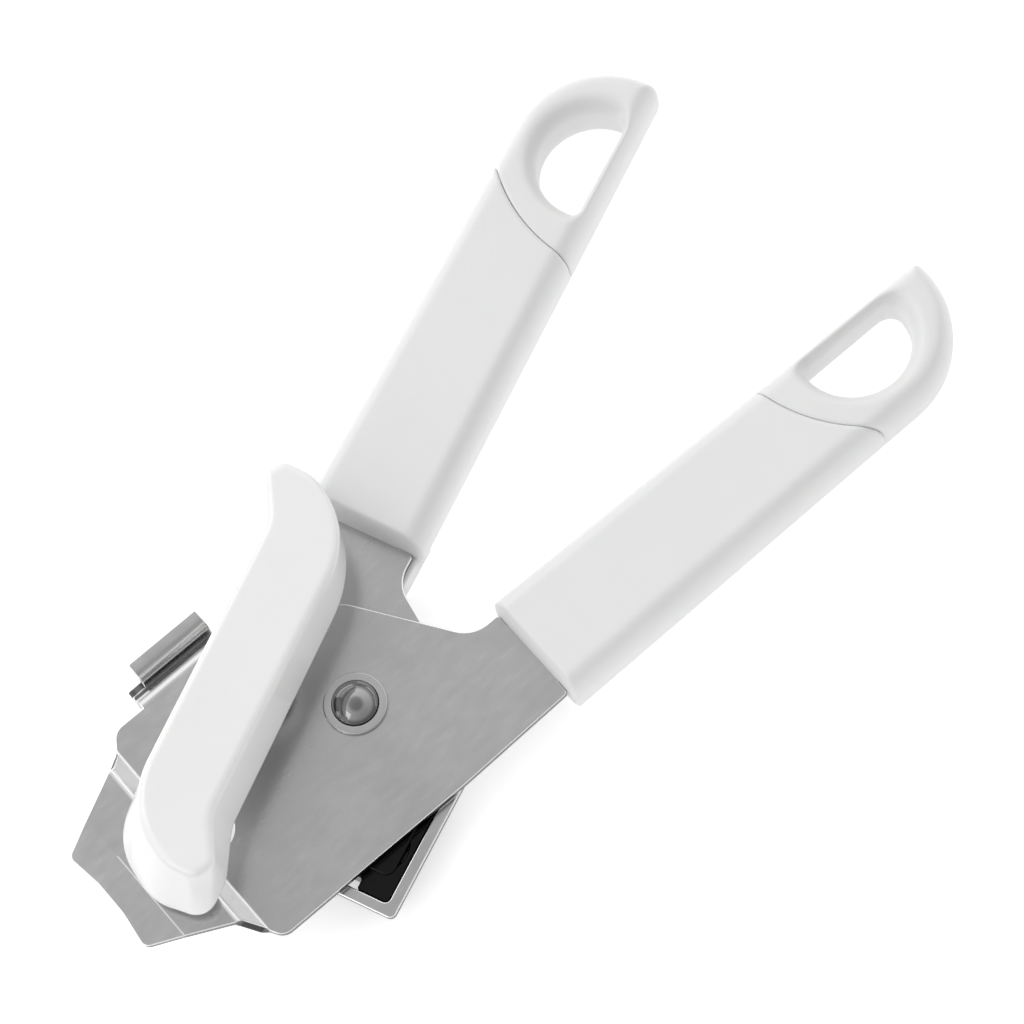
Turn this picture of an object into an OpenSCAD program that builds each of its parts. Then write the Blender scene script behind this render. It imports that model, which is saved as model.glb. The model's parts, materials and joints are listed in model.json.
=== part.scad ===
// Hand can opener with a wing key, a serrated feed wheel, a free-turning cutting
// wheel, a crown-cap lifter at the tip and a hanging eye in the end of each handle.
//
// The origin is on the pivot rivet's axis, in the plane that the opener lies on.
// +X runs from the pivot towards the front handle and +Z towards the turning key.
// The rear arm is drawn in its own frame, as the front arm's mirror image, and is
// then turned about the pivot by the spread of the handles.

/* [Handles] */
// Distance from the pivot to the handle's front end
handle_start = 34; // [32:1:40]
// Distance from the pivot to the centre of the handle's rounded outer end
handle_end = 127.5; // [115:0.5:155]
// Radius of the handle's rounded outer end
handle_end_radius = 21.1; // [19:0.1:24]
// Width of the handle at its front end
handle_width = 26.9; // [25:0.1:30]
// Thickness of the handle
handle_thickness = 16; // [14:0.5:20]
// Distance from the arm's centre line to the handle's inner edge, at its front end
inner_edge_front = 2.9; // [2.5:0.1:4]
// Distance from the arm's centre line to the handle's inner edge, at its outer end
inner_edge_end = 4.8; // [4:0.1:6]
// Wall of the hollow handle
handle_wall = 3.4; // [2.4:0.1:4.5]
// Radius of the hanging eye
eye_radius = 12.2; // [9:0.1:13]
// Distance that the end cap's spigot reaches into the hollow handle
spigot_length = 7; // [4:0.5:12]
// Radius of the pin that holds the handle on its tang
grip_pin_radius = 2; // [1.5:0.1:3]

/* [Arms] */
// Thickness of the pressed steel sheet
sheet = 1.8; // [1.4:0.1:2.2]
// Half the depth of the front arm's head, from its centre line to its lower edge
head_half = 28; // [26:0.5:31]
// Distance from the pivot to the foot of the raised tip
tip_foot = 43.2; // [42:0.1:50]
// Distance from the pivot to the points of the tip
tip_reach = 64.4; // [62:0.1:72]
// Height by which the tip stands above the head
tip_rise = 5.5; // [4:0.1:6]
// Length of the tang inside the handle
tang_length = 28; // [18:1:32]
// Width of the tang
tang_width = 16; // [12:0.5:18]
// Length of the cap lifter's window along the arm
window_length = 12.4; // [9:0.1:14]
// Width of the cap lifter's window
window_width = 11.4; // [8:0.1:16]
// Length of the rim guide along the head's upper edge
guide_length = 18; // [14:0.5:20]
// Depth of the rim guide's trough below the head's underside
guide_drop = 5.8; // [4:0.1:6]
// Width of the rim guide's flat lip
guide_lip = 2.1; // [1.5:0.1:4]

/* [Pivot] */
// Angle between the handles at rest
rest_spread = 22.6; // [20:0.1:26]
// Angle between the handles when they are squeezed shut on a can
closed_spread = -2.4; // [-2.4:0.1:0]
// Radius of the pivot rivet's shank
pivot_radius = 3.2; // [2.6:0.1:3.8]
// Radius of the pivot rivet's domed head
rivet_head_radius = 4.7; // [4.2:0.1:6]
// Height of the domed head
rivet_head_height = 2.4; // [1.6:0.1:3]
// Radius of the pivot washers
pivot_washer_radius = 6.7; // [6:0.1:9]
// Gap between the two arm sheets, filled by the spacer
arm_gap = 0.4; // [0.3:0.05:0.8]

/* [Drive] */
// Place of the drive shaft along the front arm
drive_x = -13.9; // [-17:0.1:-13]
// Place of the drive shaft across the front arm
drive_y = 15.2; // [14:0.1:18]
// Radius of the drive shaft
shaft_radius = 3; // [2.5:0.1:3.6]
// Radius of the feed wheel over its teeth
feed_radius = 9.5; // [8:0.1:10.5]
// Number of teeth on the feed wheel
feed_teeth = 30; // [20:1:40]
// Thickness of the feed wheel's toothed rim
feed_thickness = 2.6; // [2:0.1:3]
// Radius of the feed wheel's hub
feed_hub_radius = 4; // [3.8:0.1:4.6]
// Wall of the drive bush in the front arm
bush_wall = 2; // [1.4:0.1:2.6]
// Distance across the flats of the feed wheel's nut
nut_flats = 8; // [7.5:0.5:10]

/* [Cutter] */
// Radius of the cutting wheel
cutter_radius = 9; // [8:0.1:10]
// Thickness of the cutting wheel
cutter_thickness = 1.5; // [1.2:0.1:2]
// Radius of the cutting wheel's axle
axle_radius = 2.5; // [2:0.1:3]
// Depth by which the cutting edge passes the feed wheel's teeth when closed
nip_overlap = 0.6; // [0:0.1:1.2]
// Direction from the drive shaft to the closed cutting wheel
nip_direction = 250; // [245:1:255]

/* [Key] */
// Length of the wing key
key_length = 93.4; // [84:0.2:104]
// Width of the key's straight middle, at its foot
key_width = 21.6; // [17:0.2:24]
// Thickness of the key's wings
key_thickness = 12.2; // [9:0.2:15]
// Height of the key's underside above the handles' upper faces
key_clearance = 2.2; // [1.6:0.1:4]
// Direction of the key at rest
key_angle = 24.4; // [0:0.1:90]
// Radius of the key's boss
key_boss_radius = 8; // [7:0.1:9]
// Length of the steel insert moulded into the key
insert_length = 52; // [36:1:60]
// Width of the steel insert
insert_width = 9; // [8:0.5:12]
// Thickness of the steel insert
insert_thickness = 2.4; // [1.6:0.1:3]
// Depth of plastic under the steel insert
insert_depth = 3; // [2:0.1:4]

/* [Lid magnet] */
// Length of the magnet housing along the jaw
housing_length = 25; // [18:0.5:26]
// Depth of the magnet housing across the jaw
housing_depth = 12; // [11:0.5:13]
// Radius of the magnet
magnet_radius = 4.6; // [3.5:0.1:5]
// Width of steel left around the housing's window
jaw_rim = 2.5; // [2:0.1:4]

/* [Clearances] */
// Radial running clearance of a turning fit
running = 0.05; // [0.02:0.01:0.1]
// End play between parts that turn against each other
play = 0.05; // [0.02:0.01:0.1]
// Gap round a part that is seated in another
seat = 0.1; // [0.05:0.01:0.2]
// Clearance between the rear arm and the turning feed wheel's hub
hub_clearance = 0.6; // [0.4:0.1:1]
// Gap between the cutting wheel and the feed wheel's face
nip_face_gap = 0.3; // [0.2:0.05:0.5]

/* [Hidden] */
$fn = 64;

plastic_white = [0.93, 0.93, 0.92];
key_white = [0.97, 0.97, 0.97];
plated_steel = [0.66, 0.66, 0.66];
dark_steel = [0.45, 0.45, 0.46];
bright_steel = [0.78, 0.78, 0.78];
magnet_black = [0.05, 0.05, 0.05];

// Heights of the stacked parts, from the plane that the opener lies on.
arm_plane = handle_thickness / 2;
rear_top = arm_plane - arm_gap / 2;
rear_bottom = rear_top - sheet;
front_bottom = arm_plane + arm_gap / 2;
front_top = front_bottom + sheet;
feed_top = rear_bottom - hub_clearance;
feed_bottom = feed_top - feed_thickness;
cutter_top = feed_bottom - nip_face_gap;
cutter_bottom = cutter_top - cutter_thickness;
axle_head_radius = axle_radius + 1.7;
bush_radius = shaft_radius + bush_wall;
bush_flange_radius = bush_radius + 2;
bush_flange = 1;
key_washer_height = 0.6;
key_bottom = handle_thickness + key_clearance;
key_top = key_bottom + key_thickness;
insert_bottom = key_bottom + insert_depth;
shaft_bottom = 0.4;
nut_bottom = 0.8;

// Places in plan.
drive_at = [drive_x, drive_y];
drive_distance = norm(drive_at);
nip_distance = feed_radius + cutter_radius - nip_overlap;
cutter_closed = drive_at + nip_distance * [cos(nip_direction), sin(nip_direction)];
cutter_at = turned(cutter_closed, -closed_spread);
boss_radius = drive_distance - feed_hub_radius - hub_clearance;
handle_bottom_edge = inner_edge_front + handle_width;
end_centre = [handle_end, handle_end_radius - handle_bottom_edge + 0.8];
tip_corner_radius = 2;
lip_corner_radius = 2.5;
seam_radius = 36.2;
seam_centre = [handle_end + 12.5, 0.2];
shoulder_x = handle_start - seat;
shoulder_inner = inner_edge_front + 2;
shoulder_outer = handle_bottom_edge - 2.6;
tang_middle = (shoulder_inner + shoulder_outer) / 2;
tang_end = handle_start + tang_length;
pin_x = handle_start + tang_length / 2;
hollow_start = tang_end + 4;
eye_at = [handle_end - 1, -(inner_edge_end + 4.9)];
eye_straight = inner_edge_end + 2.7;
guide_end_x = -12;
guide_start_x = guide_end_x - guide_length;
guide_bend = 1;
guide_slot = 0.7;
head_top = head_half + 0.9;
neck_hollow = [11.6, 19];
neck_hollow_radius = 8;
neck_rise_x = 27.3;
neck_rise_radius = 7;
jaw_end = -36.3;
jaw_bottom = -27.5;
jaw_top = 5;
housing_start = jaw_end + jaw_rim;
housing_low = jaw_bottom + jaw_rim;
magnet_at = [housing_start + 0.42 * housing_length, housing_low + 0.5 * housing_depth];
tongue_length = 9.4;

// The handle's section: each pair is a share of the thickness and an inset.
handle_section = [[0, 4.2], [0.06, 2], [0.16, 0.7], [0.32, 0.1], [0.5, 0],
                  [0.68, 0.1], [0.84, 0.7], [0.94, 2], [1, 4.2]];
// Number of layers that the key's sloping walls are drawn in.
key_layers = 6;
// Length by which the key's longer wing passes the middle of its length.
key_offset = 2.6;
// Width by which the key's walls close in on each side, from the foot to the top.
key_draft = 2.4;

function turned(p, a) = [p[0] * cos(a) - p[1] * sin(a), p[0] * sin(a) + p[1] * cos(a)];
function unit(v) = v / norm(v);

// Points along an arc, both ends included.
function arc(c, r, a0, a1, n = 8) =
    [for (k = [0:n]) let (a = a0 + (a1 - a0) * k / n) c + r * [cos(a), sin(a)]];

// The points that round the corner b, between a and c, with radius r.
function corner(a, b, c, r) =
    r == 0 ? [b] :
    let (u = unit(a - b), v = unit(c - b), half = acos(u * v) / 2,
         o = b + unit(u + v) * r / sin(half),
         p = b + u * r / tan(half) - o, q = b + v * r / tan(half) - o,
         start = atan2(p[1], p[0]),
         sweep = (atan2(q[1], q[0]) - start + 540) % 360 - 180)
    arc(o, r, start, start + sweep, 6);

// A closed outline from corners given as [x, y, radius].
function rounded(pts) =
    let (n = len(pts), xy = [for (p = pts) [p[0], p[1]]])
    [for (i = [0:n - 1]) each corner(xy[(i + n - 1) % n], xy[i], xy[(i + 1) % n], pts[i][2])];

// ---- Handles, drawn on the front arm ----

// The handle's outline, drawn in by an inset.
function handle_outline(inset) =
    let (r = handle_end_radius - inset,
         inner = -inner_edge_end - inset - tip_corner_radius,
         rise = inner - end_centre[1],
         run = sqrt(pow(r - tip_corner_radius, 2) - rise * rise),
         tip = end_centre + [run, rise],
         turn = atan2(rise, run),
         x = handle_start + inset + lip_corner_radius)
    concat(arc([x, inset + lip_corner_radius - handle_bottom_edge], lip_corner_radius, 180, 270, 6),
           arc(end_centre, r, -91, turn, 18),
           arc(tip, tip_corner_radius, turn, 89, 5),
           arc([x, -inner_edge_front - inset - lip_corner_radius], lip_corner_radius, 90, 180, 6));

module handle_form() {
    slice = 0.02;
    hull() {
        for (s = handle_section)
            translate([0, 0, s[0] * (handle_thickness - slice)])
                linear_extrude(slice) polygon(handle_outline(s[1]));
    }
}

// The part of the plan on the outer side of the seam.
module beyond_seam(extra) {
    translate([seam_centre[0], seam_centre[1], -1])
        cylinder(r = seam_radius + extra, h = handle_thickness + 2, $fn = 128);
}

module handle_hollow(inset) {
    translate([0, 0, inset])
        linear_extrude(handle_thickness - 2 * inset)
            intersection() {
                polygon(handle_outline(inset));
                translate([hollow_start, -handle_bottom_edge]) square([handle_end, handle_bottom_edge]);
            }
}

// A handle with a slot for a tang between the given heights.
module grip(tang_bottom, tang_top) {
    difference() {
        handle_form();
        beyond_seam(seat);
        handle_hollow(handle_wall);
        translate([handle_start - 1, -tang_middle - tang_width / 2 - seat, tang_bottom - seat])
            cube([tang_length + 1 + seat, tang_width + 2 * seat, tang_top - tang_bottom + 2 * seat]);
        translate([pin_x, -tang_middle, -1])
            cylinder(r = grip_pin_radius, h = handle_thickness - 2);
    }
}

module eye_cap() {
    difference() {
        union() {
            intersection() {
                handle_form();
                beyond_seam(0);
            }
            intersection() {
                handle_hollow(handle_wall + seat);
                beyond_seam(spigot_length);
            }
        }
        translate([0, 0, -1])
            linear_extrude(handle_thickness + 2)
                intersection() {
                    translate(eye_at) circle(r = eye_radius, $fn = 96);
                    translate([0, -eye_straight - 2 * eye_radius])
                        square([2 * handle_end, 2 * eye_radius]);
                }
    }
}

module grip_pin() {
    translate([pin_x, -tang_middle, 0.5])
        cylinder(r = grip_pin_radius - 0.01, h = handle_thickness - 4);
}

// ---- Front arm ----

module front_outline() {
    polygon(rounded([
        [shoulder_x, -shoulder_outer, 0.8], [6, -head_half, 30],
        [0.6 - tip_foot + 1.1, -head_half, 3.2], [-tip_foot, 3.1 - head_half, 0.5],
        [-tip_foot - 3.4, 6.7 - head_half, 2], [-tip_reach, -12.4, 1.8],
        [1.1 - tip_reach, -4, 9], [1.1 - tip_reach, 4, 9],
        [-tip_reach, 12.4, 1.8], [-tip_foot - 3.4, head_half - 6.7, 2],
        [-tip_foot, head_half - 2.6, 0.5], [2.4 - tip_foot, head_top, 3.5],
        [guide_end_x, head_top, 0], [neck_hollow[0], neck_hollow[1], neck_hollow_radius],
        [neck_rise_x, -shoulder_inner, neck_rise_radius], [shoulder_x, -shoulder_inner, 0.8],
        [shoulder_x, tang_width / 2 - tang_middle, 0], [tang_end, tang_width / 2 - tang_middle, 2],
        [tang_end, -tang_width / 2 - tang_middle, 2], [shoulder_x, -tang_width / 2 - tang_middle, 0]
    ]));
}

// The sheet's section along the arm: flat head, steep rise, tip with its end turned down.
module front_profile() {
    run = 3.3;
    back = sheet * tan(atan2(tip_rise, run) / 2);
    hook_x = -tip_reach + 7.6;
    hook_drop = 0.7;
    polygon([[tang_end + 1, front_top], [-tip_foot, front_top],
             [-tip_foot - run, front_top + tip_rise], [hook_x, front_top + tip_rise],
             [-tip_reach - 1, front_top + tip_rise - hook_drop],
             [-tip_reach - 1, front_bottom + tip_rise - hook_drop],
             [hook_x, front_bottom + tip_rise],
             [-tip_foot - run - back, front_bottom + tip_rise],
             [-tip_foot - back, front_bottom], [tang_end + 1, front_bottom]]);
}

// The rim guide's section across the arm: over the edge, down, round and up to a flat lip.
function guide_profile() =
    let (outer = sheet + guide_bend,
         edge = [head_top + 0.3, front_bottom - guide_bend],
         floor_z = front_bottom - guide_drop + sheet + guide_slot,
         trough = [edge[0] + outer + guide_slot, floor_z],
         lip = [trough[0] + guide_slot + outer, edge[1]])
    concat([[head_top - 1, front_top]],
           arc(edge, outer, 90, 0), arc(trough, guide_slot, 180, 360), arc(lip, outer, 180, 90),
           [[lip[0] + guide_lip, front_top], [lip[0] + guide_lip, front_bottom]],
           arc(lip, guide_bend, 90, 180), arc(trough, guide_slot + sheet, 360, 180),
           arc(edge, guide_bend, 0, 90), [[head_top - 1, front_bottom]]);

module rim_guide() {
    tail = 3.4;
    difference() {
        translate([guide_start_x - tail, 0, 0])
            rotate([90, 0, 90]) linear_extrude(guide_length + tail) polygon(guide_profile());
        translate([guide_start_x - tail - 1, head_top + 3.6, front_bottom - guide_drop + 2 * sheet])
            cube([tail + 1, 20, guide_drop + 1]);
    }
}

module front_arm_plate() {
    color(plated_steel) difference() {
        union() {
            intersection() {
                linear_extrude(front_top + tip_rise + 1) front_outline();
                translate([0, 2 * head_half, 0])
                    rotate([90, 0, 0]) linear_extrude(4 * head_half) front_profile();
            }
            rim_guide();
        }
        cylinder(r = pivot_radius + running, h = front_top + 1);
        translate(drive_at) cylinder(r = bush_radius, h = front_top + 1);
        translate([pin_x, -tang_middle, 0]) cylinder(r = grip_pin_radius, h = front_top + 1);
        translate([-tip_foot - 3, 0, 0])
            linear_extrude(front_top + tip_rise + 1)
                polygon(rounded([[0, -window_width / 2, 1.5], [window_length, -window_width / 2, 2],
                                 [window_length, window_width / 2, 2], [0, window_width / 2, 1.5]]));
    }
}

module front_grip() {
    color(plastic_white) grip(front_bottom, front_top);
}

module front_eye_cap() {
    color(plastic_white) eye_cap();
}

module front_grip_pin() {
    color(bright_steel) grip_pin();
}

// ---- Rear arm ----

// Turns a part drawn in the rear arm's frame to its place at rest.
module on_rear_arm() {
    rotate([0, 0, rest_spread]) children();
}

// The jaw, the boss round the pivot and the neck with its tang.
module rear_sheet() {
    linear_extrude(sheet)
        polygon(rounded([[jaw_end, jaw_bottom, 1.5], [jaw_end, jaw_top, 3],
                         [-4, jaw_top, 0], [-4, jaw_bottom, 0]]));
    cylinder(r = boss_radius, h = sheet, $fn = 96);
    linear_extrude(sheet)
        polygon(rounded([[-1, 0, 0], [0.5, boss_radius - 0.2, 0], [9, shoulder_outer, 6],
                         [shoulder_x, shoulder_outer, 0.8],
                         [shoulder_x, tang_middle + tang_width / 2, 0],
                         [tang_end, tang_middle + tang_width / 2, 2],
                         [tang_end, tang_middle - tang_width / 2, 2],
                         [shoulder_x, tang_middle - tang_width / 2, 0],
                         [shoulder_x, shoulder_inner, 0.8],
                         [neck_rise_x, shoulder_inner, neck_rise_radius],
                         [neck_hollow[0], -neck_hollow[1], neck_hollow_radius],
                         [0, jaw_bottom, 6], [-6, jaw_bottom, 0]]));
}

module rear_arm_plate() {
    color(plated_steel) on_rear_arm() difference() {
        translate([0, 0, rear_bottom]) rear_sheet();
        cylinder(r = pivot_radius + running, h = rear_top + 1);
        translate([pin_x, tang_middle, 0]) cylinder(r = grip_pin_radius, h = rear_top + 1);
        translate(cutter_at) {
            cylinder(r = axle_radius - 0.5, h = rear_top + 1);
            translate([0, 0, rear_top - 0.8])
                cylinder(r1 = axle_radius - 0.5, r2 = axle_radius + 0.5, h = 0.81);
        }
        linear_extrude(rear_top + 1) housing_outline(0);
    }
}

module rear_grip() {
    color(plastic_white) on_rear_arm() union() {
        mirror([0, 1, 0]) grip(rear_bottom, rear_top);
        linear_extrude(rear_bottom - 2 * seat)
            polygon(rounded([[handle_start - tongue_length, inner_edge_front + 1.2, 2],
                             [handle_start + 4, inner_edge_front + 1.2, 0],
                             [handle_start + 4, handle_bottom_edge - 5, 0],
                             [handle_start - 3, handle_bottom_edge - 5, 3]]));
    }
}

module rear_eye_cap() {
    color(plastic_white) on_rear_arm() mirror([0, 1, 0]) eye_cap();
}

module rear_grip_pin() {
    color(bright_steel) on_rear_arm() mirror([0, 1, 0]) grip_pin();
}

// ---- Pivot ----

module pivot_rivet() {
    head_base = front_top + 0.8;
    tail_top = rear_bottom - 1 - play;
    cap_radius = (rivet_head_radius * rivet_head_radius / rivet_head_height + rivet_head_height) / 2;
    half_angle = asin(rivet_head_radius / cap_radius);
    dome = [for (k = [0:10]) let (a = half_angle * (1 - k / 10))
            [cap_radius * sin(a), head_base + rivet_head_height - cap_radius * (1 - cos(a))]];
    color(bright_steel) rotate_extrude($fn = 96)
        polygon(concat([[0, tail_top - 1.8], [rivet_head_radius - 0.7, tail_top - 1.8],
                        [rivet_head_radius, tail_top - 1.1], [rivet_head_radius, tail_top],
                        [pivot_radius, tail_top], [pivot_radius, head_base]], dome));
}

module washer(outer, inner, bottom, top) {
    translate([0, 0, bottom]) difference() {
        cylinder(r = outer, h = top - bottom, $fn = 96);
        translate([0, 0, -1]) cylinder(r = inner, h = top - bottom + 2);
    }
}

module pivot_front_washer() {
    color(bright_steel) washer(pivot_washer_radius, pivot_radius + running, front_top, front_top + 0.8);
}

module pivot_spacer() {
    color(dark_steel) washer(pivot_washer_radius + 1, pivot_radius + running, rear_top + play, front_bottom);
}

module pivot_rear_washer() {
    color(bright_steel)
        washer(pivot_washer_radius, pivot_radius + running, rear_bottom - 1 - play, rear_bottom - play);
}

// ---- Key, shaft and feed wheel ----

// One end of the key, drawn towards +X: the horn, then the large rounded corner.
// The longer wing spreads evenly at its foot, the shorter one mostly under its horn.
function long_foot(reach, half) =
    [[reach - 20.8, half, 10], [reach - 10.3, half + 3.9, 8], [reach - 1.2, half + 4.3, 4.5],
     [reach, 2.5, 12], [reach - 8.3, 0.2 - half, 14]];

function short_foot(reach, half) =
    [[reach - 20.1, half, 8], [reach - 14.1, half + 4.6, 8], [reach - 0.6, half + 6.2, 4.5],
     [reach + 0.1, 5.8, 7], [reach - 13.6, 1 - half, 26]];

function wing_top(reach, half) =
    [[reach - 12.6, half, 10], [reach - 3.6, half + 5.6, 2.5], [reach, half + 3.1, 2.5],
     [reach - 0.3, 4.5, 10], [reach - 8.1, 0.2 - half, 18]];

function half_turn(corners) = [for (c = corners) [-c[0], -c[1], c[2]]];

// The key's outline, from its foot at 0 to its top at 1.
function key_outline(share) =
    let (half = key_width / 2, middle = key_length / 2,
         foot = concat(half_turn(long_foot(middle + key_offset, half)),
                       short_foot(middle - key_offset, half)),
         top_end = wing_top(middle - 4.1, half - key_draft),
         top = concat(half_turn(top_end), top_end))
    rounded([for (i = [0:len(foot) - 1]) (1 - share) * foot[i] + share * top[i]]);

// Turns a part drawn along the X axis to the key's place at rest.
module on_key() {
    translate(drive_at) rotate([0, 0, key_angle]) children();
}

module insert_bar(gap) {
    translate([-insert_length / 2 - gap, -insert_width / 2 - gap, insert_bottom - gap])
        cube([insert_length + 2 * gap, insert_width + 2 * gap, insert_thickness + 2 * gap]);
}

module turn_key() {
    boss_bottom = front_top + bush_flange + key_washer_height + play;
    color(key_white) on_key() difference() {
        union() {
            for (layer = [0:key_layers - 1])
                translate([0, 0, key_bottom])
                    linear_extrude((layer + 1) * key_thickness / key_layers)
                        polygon(key_outline(layer / (key_layers - 1)));
            translate([0, 0, boss_bottom])
                cylinder(r = key_boss_radius, h = key_bottom - boss_bottom + 1);
        }
        cylinder(r = shaft_radius + 0.01, h = insert_bottom + insert_thickness);
        insert_bar(0.02);
    }
}

module key_insert() {
    color(dark_steel) on_key() difference() {
        insert_bar(0);
        cylinder(r = shaft_radius + 0.01, h = key_top);
    }
}

module drive_shaft() {
    color(bright_steel) translate([drive_x, drive_y, shaft_bottom])
        cylinder(r = shaft_radius, h = insert_bottom + insert_thickness - shaft_bottom);
}

module drive_bush() {
    color(bright_steel) translate(drive_at) difference() {
        union() {
            translate([0, 0, front_bottom]) cylinder(r = bush_radius - 0.01, h = sheet + bush_flange);
            translate([0, 0, front_top]) cylinder(r = bush_flange_radius, h = bush_flange);
        }
        cylinder(r = shaft_radius + running, h = front_top + bush_flange + 1);
    }
}

module key_washer() {
    base = front_top + bush_flange;
    color(dark_steel) translate(drive_at)
        washer(bush_flange_radius - 0.5, shaft_radius + 2 * running, base, base + key_washer_height);
}

// The toothed outline: sharp, evenly spaced serrations.
function feed_outline() =
    [for (k = [0:2 * feed_teeth - 1])
        let (r = feed_radius - (k % 2) * 0.9, a = 180 * k / feed_teeth) r * [cos(a), sin(a)]];

module feed_wheel() {
    color(dark_steel) translate(drive_at) difference() {
        union() {
            translate([0, 0, feed_bottom]) linear_extrude(feed_thickness) polygon(feed_outline());
            translate([0, 0, feed_bottom])
                cylinder(r = feed_hub_radius, h = front_bottom - play - feed_bottom);
        }
        cylinder(r = shaft_radius + 0.01, h = front_top);
    }
}

module feed_wheel_nut() {
    color(bright_steel) translate([drive_x, drive_y, nut_bottom]) difference() {
        cylinder(r = nut_flats / 2 / cos(30), h = feed_bottom - nut_bottom, $fn = 6);
        translate([0, 0, -1]) cylinder(r = shaft_radius + 0.01, h = feed_bottom + 1);
    }
}

// ---- Cutting wheel, on the rear arm ----

module cutting_wheel() {
    color(bright_steel) on_rear_arm() translate(cutter_at) rotate_extrude($fn = 128)
        polygon([[axle_radius + running, cutter_bottom], [cutter_radius - 3.2, cutter_bottom],
                 [cutter_radius, cutter_top - 0.15], [cutter_radius, cutter_top],
                 [axle_radius + running, cutter_top]]);
}

module cutter_axle() {
    head = cutter_bottom - play;
    color(bright_steel) on_rear_arm() translate(cutter_at) rotate_extrude($fn = 96)
        polygon([[0, 0], [axle_head_radius - 0.4, 0], [axle_head_radius, 0.4],
                 [axle_head_radius, head], [axle_radius, head], [axle_radius, rear_bottom],
                 [axle_radius - 0.51, rear_bottom], [axle_radius - 0.51, rear_top - 0.8],
                 [axle_radius + 0.48, rear_top], [0, rear_top]]);
}

module cutter_spacer() {
    color(dark_steel) on_rear_arm() translate(cutter_at)
        washer(axle_head_radius, axle_radius + 0.01, cutter_top + play, rear_bottom);
}

// ---- Lid magnet, in the rear arm's jaw ----

// The housing's outline, drawn in by a gap; its inner corner is notched.
module housing_outline(gap) {
    difference() {
        translate([housing_start + gap, housing_low + gap])
            square([housing_length - 2 * gap, housing_depth - 2 * gap]);
        if (gap > 0)
            translate([housing_start - 1, housing_low + housing_depth - 4.6])
                square([3.6, 6]);
    }
}

module magnet_housing() {
    color(magnet_black) on_rear_arm() difference() {
        translate([0, 0, cutter_bottom]) linear_extrude(rear_top - 0.3 - cutter_bottom)
            housing_outline(seat);
        translate([magnet_at[0], magnet_at[1], 0]) cylinder(r = magnet_radius, h = rear_bottom - 1);
    }
}

module lid_magnet() {
    color(dark_steel) on_rear_arm() translate([magnet_at[0], magnet_at[1], cutter_bottom + 0.2])
        cylinder(r = magnet_radius - 0.01, h = rear_bottom - 1.2 - cutter_bottom);
}

front_arm_plate();
front_grip();
front_eye_cap();
front_grip_pin();
rear_arm_plate();
rear_grip();
rear_eye_cap();
rear_grip_pin();
pivot_rivet();
pivot_front_washer();
pivot_spacer();
pivot_rear_washer();
turn_key();
key_insert();
drive_shaft();
drive_bush();
key_washer();
feed_wheel();
feed_wheel_nut();
cutting_wheel();
cutter_axle();
cutter_spacer();
magnet_housing();
lid_magnet();
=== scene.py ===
import json
import logging
import math
from dataclasses import dataclass
from enum import Enum
from typing import Callable, Optional, Sequence

import bmesh
import bpy
import numpy as np
from mathutils import Matrix, Vector
from mathutils.geometry import delaunay_2d_cdt


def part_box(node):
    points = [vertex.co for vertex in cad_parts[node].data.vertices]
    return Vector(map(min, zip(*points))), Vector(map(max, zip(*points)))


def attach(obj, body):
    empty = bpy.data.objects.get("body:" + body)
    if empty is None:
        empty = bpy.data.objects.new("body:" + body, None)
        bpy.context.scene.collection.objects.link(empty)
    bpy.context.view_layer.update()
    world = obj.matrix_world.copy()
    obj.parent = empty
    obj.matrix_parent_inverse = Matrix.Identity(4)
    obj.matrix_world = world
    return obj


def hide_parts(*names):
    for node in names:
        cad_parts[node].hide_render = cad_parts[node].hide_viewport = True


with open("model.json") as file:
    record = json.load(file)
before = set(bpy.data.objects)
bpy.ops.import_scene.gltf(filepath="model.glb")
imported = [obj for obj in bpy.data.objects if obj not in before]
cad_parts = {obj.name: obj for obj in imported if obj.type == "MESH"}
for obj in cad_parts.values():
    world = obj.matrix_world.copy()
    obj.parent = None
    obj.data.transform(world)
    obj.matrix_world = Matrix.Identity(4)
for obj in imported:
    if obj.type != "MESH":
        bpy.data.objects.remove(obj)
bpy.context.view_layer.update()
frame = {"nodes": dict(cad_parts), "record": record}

LOG = logging.getLogger("can_opener")
MM = 0.001
BUSH_RADIUS = 5.0
PIVOT_BORE = 3.25

Point2 = tuple[float, float]
Corner = tuple[float, float, float]
Terms = tuple[np.ndarray, ...]


class Side(Enum):
    """The arm that a piece belongs to."""

    FRONT = "front"
    REAR = "rear"

    @property
    def body(self) -> str:
        """Return the name of the CAD body of this arm."""
        return f"{self.value}_arm"


class Slot(Enum):
    """The record's material slots."""

    PLATED = "plated_steel"
    BRIGHT = "bright_steel"
    WHEEL = "wheel_steel"
    GRIP = "grip_white"
    KEY = "key_white"
    BLACK = "black_plastic"
    MAGNET = "magnet_dark"


# ---------------------------------------------------------------------------
# Plan geometry
# ---------------------------------------------------------------------------


def round_corner(before: Point2, at: Point2, after: Point2, radius: float, step: float) -> list[Point2]:
    """Round one corner of an outline.

    Args:
        before: The corner before it.
        at: The corner itself.
        after: The corner after it.
        radius: Fillet radius.
        step: Largest angle between two points of the fillet, in degrees.

    Returns:
        The points that stand for the corner.
    """
    if radius <= 0:
        return [at]
    a, b, c = Vector(before), Vector(at), Vector(after)
    u, v = (a - b).normalized(), (c - b).normalized()
    half = math.acos(max(-1.0, min(1.0, u.dot(v)))) / 2
    centre = b + (u + v).normalized() * radius / math.sin(half)
    first = b + u * radius / math.tan(half) - centre
    last = b + v * radius / math.tan(half) - centre
    start = math.atan2(first.y, first.x)
    sweep = (math.atan2(last.y, last.x) - start + 3 * math.pi) % (2 * math.pi) - math.pi
    count = max(2, math.ceil(abs(math.degrees(sweep)) / step))
    angles = [start + sweep * k / count for k in range(count + 1)]
    return [(centre.x + radius * math.cos(t), centre.y + radius * math.sin(t)) for t in angles]


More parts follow.
